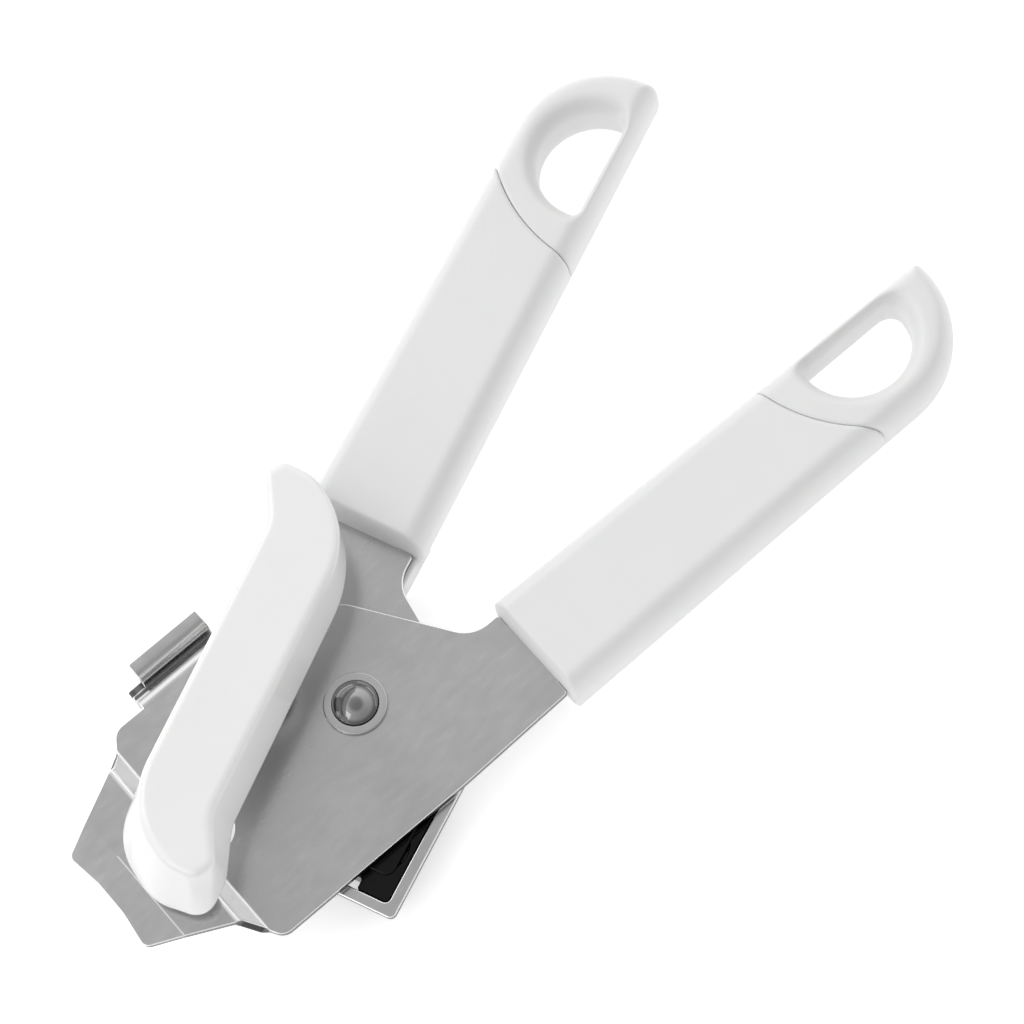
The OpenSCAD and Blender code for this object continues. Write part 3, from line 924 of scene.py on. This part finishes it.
class GripForm(Moulding):
    """The long part of a handle, up to the seam."""

    def __init__(self, shape: HandleShape) -> None:
        """Keep the handle's sizes and set the room that the form fills."""
        self.shape = shape
        self.low = (shape.start, -shape.inner_start - shape.width, 0.0)
        self.high = (shape.seam_x - 18.0, -shape.inner_start, shape.thickness)

    def plan(self, x: np.ndarray, y: np.ndarray) -> Terms:
        """Return the depth inside the outline and the distance to the seam."""
        return self.shape.outline_depth(x, y), -self.shape.seam_depth(x, y) - 0.1

    def level(self, terms: Terms, z: np.ndarray) -> np.ndarray:
        """Return the grip's field."""
        below = self.shape.thickness / 2 - np.abs(z - self.shape.thickness / 2)
        body = eased_edge(terms[0], below, self.shape.ease_wide, self.shape.ease_tall)
        return soft_meet(body, -terms[1], self.shape.seam_edge)


class EyeCapForm(Moulding):
    """The end piece of a handle, with its hanging eye."""

    def __init__(self, shape: HandleShape) -> None:
        """Keep the handle's sizes and set the room that the form fills."""
        self.shape = shape
        self.step = 0.42
        self.low = (shape.seam_x - shape.seam_radius, -shape.inner_start - shape.width, 0.0)
        self.high = (shape.end_x + shape.end_radius, -shape.inner_start, shape.thickness)

    def plan(self, x: np.ndarray, y: np.ndarray) -> Terms:
        """Return the depth inside the outline, inside the seam and outside the eye."""
        shape = self.shape
        return shape.outline_depth(x, y), shape.seam_depth(x, y), shape.eye_clearance(x, y)

    def level(self, terms: Terms, z: np.ndarray) -> np.ndarray:
        """Return the cap's field."""
        shape = self.shape
        below = shape.thickness / 2 - np.abs(z - shape.thickness / 2)
        body = eased_edge(terms[0], below, shape.ease_wide, shape.ease_tall)
        eye = eased_edge(terms[2], below, shape.eye_ease, shape.eye_drop)
        return soft_meet(soft_meet(body, eye, 0.6), -terms[1], shape.seam_edge)


class Handle:
    """One handle: its grip, its eye cap and the pin that holds it on the tang."""

    def __init__(self, side: Side, shape: HandleShape, place: Placement) -> None:
        """Keep the handle's side, sizes and place."""
        self.side = side
        self.shape = shape
        self.place = place

    def build(self) -> dict[str, bpy.types.Object]:
        """Return the handle's new pieces by name."""
        name = self.side.value
        pieces = {
            "grip": GripForm(self.shape).mesh(f"{name}_handle_grip", self.place),
            "cap": EyeCapForm(self.shape).mesh(f"{name}_handle_eye_cap", self.place),
        }
        if self.side is Side.REAR:
            pieces["tongue"] = self._tongue()
        return pieces

    def _tongue(self) -> bpy.types.Object:
        """Return the tongue that runs on under the rear sheet."""
        shape = self.shape
        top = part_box("rear_arm_plate")[0][2] / MM - 0.2
        outline = rounded([
            (shape.start - 9.4, -shape.inner_start - 1.2, 2.0),
            (shape.start + 4.0, -shape.inner_start - 1.2, 0.0),
            (shape.start + 4.0, 5.0 - shape.inner_start - shape.width, 0.0),
            (shape.start - 3.0, 5.0 - shape.inner_start - shape.width, 3.0),
        ])
        return block_part("rear_handle_tongue", outline, 0.0, top, self.place, 0.6)

    def dress(self, pieces: dict[str, bpy.types.Object], finishes: Finishes) -> None:
        """Finish the pieces and hang them on their arm."""
        name, body = self.side.value, self.side.body
        settle(pieces["grip"], finishes, Slot.GRIP, body, f"{name}_grip")
        settle(pieces["cap"], finishes, Slot.GRIP, body, f"{name}_eye_cap")
        if "tongue" in pieces:
            settle(pieces["tongue"], finishes, Slot.GRIP, body, f"{name}_grip")
        finishes.dress_node(f"{name}_grip_pin", Slot.BRIGHT)


# ---------------------------------------------------------------------------
# Arms
# ---------------------------------------------------------------------------


def follow(path: Sequence[Point2], at: np.ndarray) -> np.ndarray:
    """Return the heights of a path given as (place, height), at places along it."""
    places, heights = zip(*path)
    return np.interp(at, places, heights)


@dataclass
class FrontArm:
    """The front arm's pressed sheet, in millimetres."""

    sheet: float = 1.8
    head_half: float = 28.0
    tip_foot: float = 43.2
    tip_reach: float = 64.3
    tip_rise: float = 5.5
    joggle_run: float = 3.3
    hook_length: float = 7.6
    hook_drop: float = 0.7
    crease_top: float = 6.0
    shoulder_x: float = 33.9
    tang_end: float = 62.0
    tang_half: float = 8.0
    guide_end_x: float = -12.0
    guide_length: float = 18.0
    guide_tail: float = 3.4
    guide_drop: float = 5.8
    guide_lip: float = 2.1
    guide_bend: float = 1.0
    guide_slot: float = 0.7
    window_length: float = 12.4
    window_half: float = 5.7
    window_setback: float = 3.0
    edge_flare: float = 0.9
    bend_margin: float = 0.3
    tail_gap: float = 1.1

    def build(self, shape: HandleShape) -> bpy.types.Object:
        """Build the pressed sheet.

        Args:
            shape: The handle that the arm's tang goes into.

        Returns:
            The sheet's object.
        """
        self.middle = (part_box("pivot_spacer")[1][2] / MM) + self.sheet / 2
        self.edge_y = self.head_half + self.edge_flare + self.bend_margin
        self._lay_out_guide()
        joggle = self._joggle_path()
        crease = -self.tip_reach + self.hook_length
        # Painted highlight along the tip's crease and across the joggle's bends.
        highlight_bands = [(crease - 0.05, crease + 0.05, self.crease_top),
                 (-self.tip_foot - self.joggle_run - 0.6, -self.tip_foot + 0.3, self.head_half)]
        lines_x = {round(p[0], 4) for p in joggle[1:-1]}
        for start, end, _ in highlight_bands:
            lines_x |= {start - 0.15, start, end, end + 0.15}
        lines_y = [self.crease_top, self.crease_top - 0.5] + [self.edge_y + s for s in self.guide_stations]
        drive = joint_axis("key_turn")
        window_start = -self.tip_foot - self.window_setback
        window_end = window_start + self.window_length
        holes = [
            rounded([(window_start, -self.window_half, 1.5), (window_end, -self.window_half, 5.6),
                     (window_end, self.window_half, 4.6), (window_start, self.window_half, 1.5)]),
            full_circle(drive, BUSH_RADIUS),
            full_circle((0.0, 0.0), PIVOT_BORE),
        ]
        sheet = PressedSheet(
            thickness=self.sheet,
            blank=self._blank(shape),
            holes=holes,
            fold=lambda p: self._fold(p, joggle),
            lines_x=sorted(lines_x),
            lines_y=lines_y,
            highlight_bands=highlight_bands,
        )
        return sheet.build("front_arm_sheet", Placement())

    def _blank(self, shape: HandleShape) -> list[Point2]:
        """Return the flat blank's outline, with the rim guide rolled out."""
        low, high = shape.inner_start + shape.width - 2.6, shape.inner_start + 2.0
        tang = (low + high) / 2
        foot, reach, half = self.tip_foot, self.tip_reach, self.head_half
        flare_y = half + self.edge_flare
        start_x = self.guide_end_x - self.guide_length
        step_at = self.edge_y + self.tail_station
        end_at = self.edge_y + self.guide_stations[-1] + self.guide_lip
        return rounded([
            (self.shoulder_x, -low, 0.8), (6.0, -half, 30.0), (1.7 - foot, -half, 3.2),
            (-foot, 3.1 - half, 0.5), (-foot - 3.4, 6.7 - half, 2.0), (-reach, -12.4, 1.8),
            (1.1 - reach, -4.0, 9.0), (1.1 - reach, 4.0, 9.0), (-reach, 12.4, 1.8),
            (-foot - 3.4, half - 6.7, 2.0), (-foot, half - 2.6, 0.5), (2.4 - foot, flare_y, 3.5),
            (start_x - self.guide_tail, flare_y, 0.0), (start_x - self.guide_tail, step_at, 0.6),
            (start_x, step_at, 0.0), (start_x, end_at, 0.5),
            (self.guide_end_x, end_at, 0.5), (self.guide_end_x, flare_y, 0.0),
            (11.6, 19.0, 8.0), (27.3, -high, 7.0), (self.shoulder_x, -high, 0.8),
            (self.shoulder_x, self.tang_half - tang, 0.0), (self.tang_end, self.tang_half - tang, 2.0),
            (self.tang_end, -self.tang_half - tang, 2.0), (self.shoulder_x, -self.tang_half - tang, 0.0),
        ])

    def _joggle_path(self) -> list[Point2]:
        """Return the sheet's rise along the arm as (x, height), from the tip to the head."""
        foot, top = -self.tip_foot, self.tip_rise
        raised = foot - self.joggle_run
        hook = -self.tip_reach + self.hook_length
        return rounded([
            (-self.tip_reach - 1.0, top - self.hook_drop, 0.0), (hook, top, 1.2),
            (raised - 0.5, top, 1.0), (foot - 0.5, 0.0, 1.2), (foot + 12.0, 0.0, 0.0),
        ], step=9.0, closed=False)

    def _lay_out_guide(self) -> None:
        """Work out the rim guide's section and its stations along the rolled-out sheet."""
        turn = self.guide_bend + self.sheet / 2
        pinch = self.guide_slot + self.sheet / 2
        top = -turn
        floor_z = self.sheet / 2 - self.sheet - self.guide_drop + self.sheet + self.guide_slot
        trough_y = turn + pinch
        path = [(0.0, 0.0)]
        path += arc((0.0, top), turn, 90.0, 0.0, 8)[1:]
        path += arc((trough_y, floor_z), pinch, 180.0, 360.0, 12)
        path += arc((trough_y + pinch + turn, top), turn, 180.0, 90.0, 8)
        stations = [0.0]
        for a, b in zip(path, path[1:]):
            stations.append(stations[-1] + math.dist(a, b))
        self.guide_path = path
        self.guide_stations = stations
        trough_end = stations[-10]
        self.tail_station = trough_end + self.tail_gap

    def _fold(self, p: np.ndarray, joggle: Sequence[Point2]) -> np.ndarray:
        """Take the blank's points to the middle of the folded sheet."""
        x, y = p[:, 0], p[:, 1].copy()
        z = self.middle + follow(joggle, x)
        along = np.maximum(y - self.edge_y, 0.0)
        last = self.guide_stations[-1]
        spare = np.maximum(along - last, 0.0)
        path_y, path_z = zip(*self.guide_path)
        across = np.interp(along, self.guide_stations, path_y) + spare
        drop = np.interp(along, self.guide_stations, path_z)
        y = np.minimum(y, self.edge_y) + across
        return np.column_stack([x, y, z + drop])

    def dress(self, obj: bpy.types.Object, finishes: Finishes) -> None:
        """Finish the sheet and hang it on the front arm."""
        settle(obj, finishes, Slot.PLATED, Side.FRONT.body, "front_arm_plate")


@dataclass
class RearArm:
    """The rear arm's sheet and the lid magnet's housing, in millimetres, in the arm's own frame."""

    sheet: float = 1.8
    jaw_end: float = -36.3
    jaw_bottom: float = -27.5
    jaw_top: float = 5.0
    jaw_rim: float = 2.5
    housing_length: float = 25.0
    housing_depth: float = 12.0
    hub_radius: float = 4.0
    hub_clearance: float = 0.6
    magnet_radius: float = 4.6
    shoulder_x: float = 33.9
    tang_end: float = 62.0
    tang_half: float = 8.0

    def build(self, shape: HandleShape, turn: float) -> dict[str, bpy.types.Object]:
        """Build the sheet and the housing.

        Args:
            shape: The handle that the arm's tang goes into.
            turn: Turn of the rear arm about the pivot at rest, in degrees.

        Returns:
            The pieces by name.
        """
        place = Placement(turn_degrees=turn)
        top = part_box("rear_arm_plate")[1][2] / MM
        middle = top - self.sheet / 2
        sheet = PressedSheet(
            thickness=self.sheet,
            blank=self._blank(shape),
            holes=[self._housing(0.0, 1.2), full_circle((0.0, 0.0), PIVOT_BORE)],
            fold=lambda p: np.column_stack([p, np.full(len(p), middle)]),
            edge=0.35,
        )
        pieces = {"sheet": sheet.build("rear_arm_sheet", place)}
        low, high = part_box("magnet_housing")[0][2] / MM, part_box("magnet_housing")[1][2] / MM
        magnet = self._magnet_centre()
        pieces["housing"] = block_part("lid_magnet_housing", self._housing(0.1, 1.0), low, high - 0.5,
                                       place, 0.5, [full_circle(magnet, self.magnet_radius)])
        corner_x, corner_y = self.jaw_end + self.jaw_rim, self.jaw_bottom + self.jaw_rim
        start, end = corner_x + 5.0, corner_x + self.housing_length - 2.5
        low_y, high_y = corner_y + 2.0, corner_y + 9.5
        crown = rounded([(start, low_y, 2.2), (end, low_y, 2.2), (end, high_y, 2.2), (start, high_y, 2.2)])
        pieces["crown"] = block_part("lid_magnet_housing_crown", crown, high - 1.6, high, place, 0.45)
        return pieces

    def _magnet_centre(self) -> Point2:
        """Return the magnet's place in the rear arm's frame."""
        return (self.jaw_end + self.jaw_rim + 0.42 * self.housing_length,
                self.jaw_bottom + self.jaw_rim + 0.5 * self.housing_depth)

    def _housing(self, gap: float, radius: float) -> list[Point2]:
        """Return the housing's outline, drawn in by a gap."""
        x0, y0 = self.jaw_end + self.jaw_rim + gap, self.jaw_bottom + self.jaw_rim + gap
        x1, y1 = x0 + self.housing_length - 2 * gap, y0 + self.housing_depth - 2 * gap
        if gap == 0.0:
            return rounded([(x0, y0, radius), (x1, y0, radius), (x1, y1, radius), (x0, y1, radius)])
        step_x, step_y = x0 + 2.5, y1 - 4.5
        return rounded([(x0, y0, radius), (x1, y0, radius), (x1, y1, radius),
                        (step_x, y1, 0.7), (step_x, step_y, 0.7), (x0, step_y, 0.7)])

    def _blank(self, shape: HandleShape) -> list[Point2]:
        """Return the outline of jaw, boss, neck and tang in one line."""
        drive = joint_axis("key_turn")
        boss = math.hypot(*drive) - self.hub_radius - self.hub_clearance
        low, high = shape.inner_start + 2.0, shape.inner_start + shape.width - 2.6
        tang = (low + high) / 2
        jaw_meets = math.degrees(math.asin(self.jaw_top / boss))
        neck_at = 62.0
        neck = (boss * math.cos(math.radians(neck_at)), boss * math.sin(math.radians(neck_at)))
        disc = arc((0.0, 0.0), boss, neck_at, 180.0 - jaw_meets, 40)
        neck_line = self._neck_line(neck, low, high, tang)
        return disc + self._jaw_line(disc[-1]) + neck_line

    def _jaw_line(self, from_disc: Point2) -> list[Point2]:
        """Return the jaw's outline from the boss round to the lower edge of the neck."""
        line = rounded([
            (from_disc[0], from_disc[1], 0.0), (self.jaw_end, self.jaw_top, 3.0),
            (self.jaw_end, self.jaw_bottom, 1.5), (-6.0, self.jaw_bottom, 0.0),
        ], closed=False)
        return line[1:]

    def _neck_line(self, neck: Point2, low: float, high: float, tang: float) -> list[Point2]:
        """Return the neck's outline from the jaw's lower edge round the tang to the boss."""
        line = rounded([
            (-6.0, self.jaw_bottom, 0.0), (0.0, self.jaw_bottom, 6.0), (11.6, -19.0, 8.0), (27.3, low, 7.0),
            (self.shoulder_x, low, 0.8), (self.shoulder_x, tang - self.tang_half, 0.0),
            (self.tang_end, tang - self.tang_half, 2.0), (self.tang_end, tang + self.tang_half, 2.0),
            (self.shoulder_x, tang + self.tang_half, 0.0), (self.shoulder_x, high, 0.8),
            (9.0, high, 6.0), (neck[0], neck[1], 0.0),
        ], closed=False)
        return line[1:-1]

    def dress(self, pieces: dict[str, bpy.types.Object], finishes: Finishes) -> None:
        """Finish the pieces and hang them on the rear arm."""
        body = Side.REAR.body
        settle(pieces["sheet"], finishes, Slot.PLATED, body, "rear_arm_plate")
        settle(pieces["housing"], finishes, Slot.BLACK, body, "magnet_housing")
        settle(pieces["crown"], finishes, Slot.BLACK, body, "magnet_housing")
        magnet = refined_copy("lid_magnet_disc", "lid_magnet", 0.25)
        settle(magnet, finishes, Slot.MAGNET, body, "lid_magnet")


# ---------------------------------------------------------------------------
# Pivot, drive and cutter
# ---------------------------------------------------------------------------


def joint_axis(name: str) -> Point2:
    """Return the place of a joint's axis in plan, in millimetres."""
    for joint in frame["record"]["behaviour"]["joints"]:
        if joint["name"] == name:
            return joint["pos_m"][0] / MM, joint["pos_m"][1] / MM
    raise KeyError(name)


def heights(node: str) -> Point2:
    """Return a CAD node's lowest and highest point, in millimetres."""
    low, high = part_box(node)
    return low[2] / MM, high[2] / MM


@dataclass
class Pivot:
    """The domed rivet that joins the arms, with its washers, in millimetres."""

    shank: float = 3.2
    head_radius: float = 4.7
    dome: float = 2.4
    ring_radius: float = 6.7
    groove: float = 0.22

    def build(self) -> dict[str, bpy.types.Object]:
        """Return the pivot's pieces by name."""
        low, high = heights("pivot_rivet")
        base = high - self.dome
        tail = heights("pivot_rear_washer")[0]
        cap = (self.head_radius**2 / self.dome + self.dome) / 2
        reach = math.degrees(math.asin(self.head_radius / cap))
        dome = arc((0.0, high - cap), cap, 90.0 - reach, 90.0, 18)
        dome[-1] = (0.0, high)
        rivet = [(0.0, low), (self.head_radius - 0.7, low), (self.head_radius, low + 0.7),
                 (self.head_radius, tail), (self.shank, tail), (self.shank, base),
                 (self.head_radius - 0.05, base)] + dome
        bottom, top = heights("pivot_front_washer")
        ring = [(self.shank + 0.05, bottom), (self.ring_radius, bottom), (self.ring_radius, top - 0.25),
                (self.ring_radius - 0.25, top), (self.head_radius + self.groove + 0.1, top),
                (self.head_radius + 0.1, top - self.groove), (self.shank + 0.05, top - self.groove)]
        return {
            "rivet": turned_part("pivot_rivet_domed", rivet, (0.0, 0.0), 0.08),
            "ring": turned_part("pivot_ring", ring, (0.0, 0.0), 0.08),
            "rear": refined_copy("pivot_rear_ring", "pivot_rear_washer", 0.15),
        }

    def dress(self, pieces: dict[str, bpy.types.Object], finishes: Finishes) -> None:
        """Finish the pieces and hang them on the front arm."""
        body = Side.FRONT.body
        settle(pieces["rivet"], finishes, Slot.BRIGHT, body, "pivot_rivet")
        settle(pieces["ring"], finishes, Slot.PLATED, body, "pivot_front_washer")
        settle(pieces["rear"], finishes, Slot.BRIGHT, body, "pivot_rear_washer")
        finishes.dress_node("pivot_spacer", Slot.WHEEL)


def half_turn(corners: Sequence[Corner]) -> list[Corner]:
    """Return corners turned by half a turn about the origin."""
    return [(-x, -y, radius) for x, y, radius in corners]


@dataclass(frozen=True)
class KeyShape:
    """Sizes of the wing key's outlines at its foot and at its top, in millimetres."""

    middle: float = 46.7
    half: float = 10.75
    offset: float = 2.6
    draft: float = 2.35
    top_short: float = 4.1

    def foot(self) -> list[Point2]:
        """Return the outline at the foot: the longer wing, then the shorter one."""
        long, short, half = self.middle + self.offset, self.middle - self.offset, self.half
        longer = [(long - 20.8, half, 10.0), (long - 10.3, half + 3.9, 8.0), (long - 1.2, half + 4.3, 4.5),
                  (long, 2.5, 12.0), (long - 8.3, 0.2 - half, 14.0)]
        shorter = [(short - 20.1, half, 8.0), (short - 14.1, half + 4.6, 8.0), (short - 0.6, half + 6.2, 4.5),
                   (short + 0.1, 5.8, 7.0), (short - 13.6, 1.0 - half, 26.0)]
        return rounded(half_turn(longer) + shorter, step=3.0)

    def top(self) -> list[Point2]:
        """Return the outline of the top face, the same at both ends."""
        reach, half = self.middle - self.top_short, self.half - self.draft
        wing = [(reach - 12.6, half, 10.0), (reach - 3.6, half + 5.6, 2.5), (reach, half + 3.1, 2.5),
                (reach - 0.3, 4.5, 10.0), (reach - 8.1, 0.2 - half, 18.0)]
        return rounded(half_turn(wing) + wing, step=3.0)


class KeyForm(Moulding):
    """The S-shaped wing key with sloping walls, drawn along the X axis round its shaft."""

    def __init__(self, shape: KeyShape, low: float, high: float) -> None:
        """Set the key's outlines between the given heights."""
        self.bottom = low
        self.top = high
        self.foot_line = shape.foot()
        self.top_line = shape.top()
        reach = shape.middle + shape.offset
        self.low = (-reach, -shape.half - 6.2, low)
        self.high = (reach, shape.half + 6.2, high)

    def plan(self, x: np.ndarray, y: np.ndarray) -> Terms:
        """Return the depths inside the outlines at the foot and at the top."""
        return inside_distance(x, y, self.foot_line), inside_distance(x, y, self.top_line)

    def level(self, terms: Terms, z: np.ndarray) -> np.ndarray:
        """Return the key's field."""
        share = np.clip((z - self.bottom) / (self.top - self.bottom), 0.0, 1.0) ** 1.25
        depth = (1 - share) * terms[0] + share * terms[1]
        body = eased_edge(depth, self.top - z, 1.3, 1.5)
        under = eased_edge(depth, z - self.bottom, 1.2, 1.4)
        return np.maximum(body, under)


@dataclass
class TurnKey:
    """The wing key on its shaft, with the feed wheel, in millimetres."""

    boss_radius: float = 8.0
    shaft_radius: float = 3.0
    grip_clearance: float = 2.2
    rest_degrees: float = 24.4

    def build(self) -> dict[str, bpy.types.Object]:
        """Return the pieces of the drive by name, the wings turned as they rest."""
        centre = joint_axis("key_turn")
        bottom, top = heights("turn_key")
        wing_bottom = heights("front_grip")[1] + self.grip_clearance
        place = Placement(turn_degrees=self.rest_degrees, shift=centre)
        hole = self.shaft_radius + 0.01
        boss = [(hole, bottom), (self.boss_radius - 0.6, bottom), (self.boss_radius, bottom + 0.6),
                (self.boss_radius, wing_bottom - 1.0), (self.boss_radius + 1.0, wing_bottom + 0.3),
                (self.boss_radius, wing_bottom + 1.0), (hole, wing_bottom + 1.0)]
        return {
            "wings": KeyForm(KeyShape(), wing_bottom, top).mesh("wing_key", place),
            "boss": turned_part("wing_key_boss", boss, centre, 0.3),
            "feed": refined_copy("feed_wheel_serrated", "feed_wheel", 0.12),
            "nut": refined_copy("feed_wheel_hex_nut", "feed_wheel_nut", 0.25),
            "shaft": refined_copy("drive_shaft_turned", "drive_shaft", 0.3),
            "washer": refined_copy("key_thrust_washer", "key_washer", 0.1),
            "bush": refined_copy("drive_bush_flanged", "drive_bush", 0.15),
        }

    def dress(self, pieces: dict[str, bpy.types.Object], finishes: Finishes) -> None:
        """Finish the pieces and hang them on the key's body."""
        body = "key_drive"
        settle(pieces["wings"], finishes, Slot.KEY, body, "turn_key")
        settle(pieces["boss"], finishes, Slot.KEY, body, "turn_key")
        settle(pieces["feed"], finishes, Slot.WHEEL, body, "feed_wheel")
        settle(pieces["nut"], finishes, Slot.BRIGHT, body, "feed_wheel_nut")
        settle(pieces["shaft"], finishes, Slot.BRIGHT, body, "drive_shaft")
        settle(pieces["washer"], finishes, Slot.WHEEL, body, "key_washer")
        settle(pieces["bush"], finishes, Slot.BRIGHT, Side.FRONT.body, "drive_bush")
        finishes.dress_node("key_insert", Slot.WHEEL)


@dataclass
class Cutter:
    """The free-turning cutting wheel on its axle."""

    edge: float = 0.05

    def build(self) -> dict[str, bpy.types.Object]:
        """Return the cutter's pieces by name."""
        return {
            "wheel": refined_copy("cutting_wheel_ground", "cutting_wheel", self.edge),
            "axle": refined_copy("cutter_axle_headed", "cutter_axle", 0.12),
            "spacer": refined_copy("cutter_spacer_ring", "cutter_spacer", 0.12),
        }

    def dress(self, pieces: dict[str, bpy.types.Object], finishes: Finishes) -> None:
        """Finish the pieces and hang them on their bodies."""
        settle(pieces["wheel"], finishes, Slot.WHEEL, "cutter", "cutting_wheel")
        settle(pieces["axle"], finishes, Slot.BRIGHT, Side.REAR.body, "cutter_axle")
        settle(pieces["spacer"], finishes, Slot.WHEEL, Side.REAR.body, "cutter_spacer")


# ---------------------------------------------------------------------------
# Studio
# ---------------------------------------------------------------------------


@dataclass(frozen=True)
class Softbox:
    """A square area lamp that looks at a point."""

    name: str
    place: tuple[float, float, float]
    size: float
    power: float

    def build(self, target: Vector) -> bpy.types.Object:
        """Return the lamp, turned towards the target."""
        data = bpy.data.lights.new(self.name, "AREA")
        data.shape = "SQUARE"
        data.size = self.size
        data.energy = self.power
        lamp = bpy.data.objects.new(self.name, data)
        lamp.location = self.place
        lamp.rotation_euler = (target - Vector(self.place)).to_track_quat("-Z", "Y").to_euler()
        bpy.context.scene.collection.objects.link(lamp)
        return lamp


@dataclass
class Studio:
    """Camera, pale floor and soft light."""

    lens: float = 150.0
    place: tuple[float, float, float] = (-0.07027, -0.27995, 0.83138)
    tilt: float = 19.938
    roll: float = 6.536
    heading: float = -40.009
    aim: tuple[float, float, float] = (0.05, 0.01, 0.01)

    def build(self) -> None:
        """Build the camera, the floor, the lamps and the surroundings."""
        self._camera()
        self._floor()
        self._surroundings()
        for box in (
            Softbox("overhead_softbox", (-0.4, 0.85, 0.75), 0.7, 1.3),
            Softbox("left_softbox", (-0.9, -0.1, 0.55), 0.5, 0.7),
        ):
            box.build(Vector(self.aim))
        bpy.context.scene.view_settings.view_transform = "Standard"

    def _camera(self) -> None:
        """Set the camera over the opener."""
        data = bpy.data.cameras.new("studio_camera")
        data.lens = self.lens
        data.sensor_width = 36.0
        data.clip_start = 0.01
        camera = bpy.data.objects.new("studio_camera", data)
        camera.location = self.place
        camera.rotation_euler = [math.radians(a) for a in (self.tilt, self.roll, self.heading)]
        bpy.context.scene.collection.objects.link(camera)
        bpy.context.scene.camera = camera

    def _floor(self) -> None:
        """Lay the pale floor under the opener."""
        size, level = 4.0, -0.0002
        corners = [(-size, -size, level), (size, -size, level), (size, size, level), (-size, size, level)]
        mesh = bpy.data.meshes.new("studio_floor")
        mesh.from_pydata(corners, [], [(0, 1, 2, 3)])
        floor = new_object("studio_floor", mesh)
        bench = NodeBench("pale_floor")
        bench.link(bench.tint(bench.noise(3.0, 2.0), 0.92, 0.94), bench.shader.inputs["Base Color"])
        bench.shader.inputs["Roughness"].default_value = 0.9
        bench.shader.inputs["Emission Color"].default_value = (1.0, 1.0, 1.0, 1.0)
        bench.shader.inputs["Emission Strength"].default_value = 0.45
        mesh.materials.append(bench.material)

    def _surroundings(self) -> None:
        """Give the studio bright walls between a dim horizon and a dim ceiling, brighter at the back."""
        world = bpy.data.worlds.new("studio_world")
        world.use_nodes = True
        bpy.context.scene.world = world
        tree = world.node_tree
        place = tree.nodes.new("ShaderNodeTexCoord")
        split = tree.nodes.new("ShaderNodeSeparateXYZ")
        ramp = tree.nodes.new("ShaderNodeValToRGB")
        side = tree.nodes.new("ShaderNodeMapRange")
        background = next(n for n in tree.nodes if n.type == "BACKGROUND")
        tree.links.new(place.outputs["Generated"], split.inputs["Vector"])
        tree.links.new(split.outputs["Z"], ramp.inputs["Fac"])
        first, last = ramp.color_ramp.elements
        first.position, first.color = 0.0, (0.3, 0.3, 0.3, 1.0)
        last.position, last.color = 1.0, (0.42, 0.42, 0.42, 1.0)
        for position, grey in ((0.2, 0.45), (0.45, 1.0), (0.8, 0.95), (0.92, 0.48)):
            ramp.color_ramp.elements.new(position).color = (grey, grey, grey, 1.0)
        tree.links.new(ramp.outputs["Color"], background.inputs["Color"])
        for name, value in (("From Min", -1.0), ("From Max", 1.0), ("To Min", 0.6), ("To Max", 1.65)):
            side.inputs[name].default_value = value
        tree.links.new(split.outputs["Y"], side.inputs["Value"])
        tree.links.new(side.outputs["Result"], background.inputs["Strength"])


def rest_spread() -> float:
    """Return the rear arm's turn at rest in degrees, from the pins of the two handles."""
    angles = []
    for node in ("front_grip_pin", "rear_grip_pin"):
        low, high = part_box(node)
        middle = (low + high) / 2
        angles.append(math.degrees(math.atan2(middle.y, middle.x)))
    return sum(angles)


def main() -> None:
    """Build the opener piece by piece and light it."""
    logging.basicConfig(level=logging.INFO, format="%(name)s %(message)s")
    spread = rest_spread()
    LOG.info("rear arm stands at %.2f degrees", spread)
    Studio().build()
    finishes = Finishes()
    shape = HandleShape()
    for side, place in (
        (Side.FRONT, Placement()),
        (Side.REAR, Placement(mirrored=True, turn_degrees=spread)),
    ):
        handle = Handle(side, shape, place)
        handle.dress(handle.build(), finishes)
    front = FrontArm()
    front.dress(front.build(shape), finishes)
    rear = RearArm()
    rear.dress(rear.build(shape, spread), finishes)
    pivot = Pivot()
    pivot.dress(pivot.build(), finishes)
    key = TurnKey()
    key.dress(key.build(), finishes)
    cutter = Cutter()
    cutter.dress(cutter.build(), finishes)


if __name__ == "__main__":
    main()
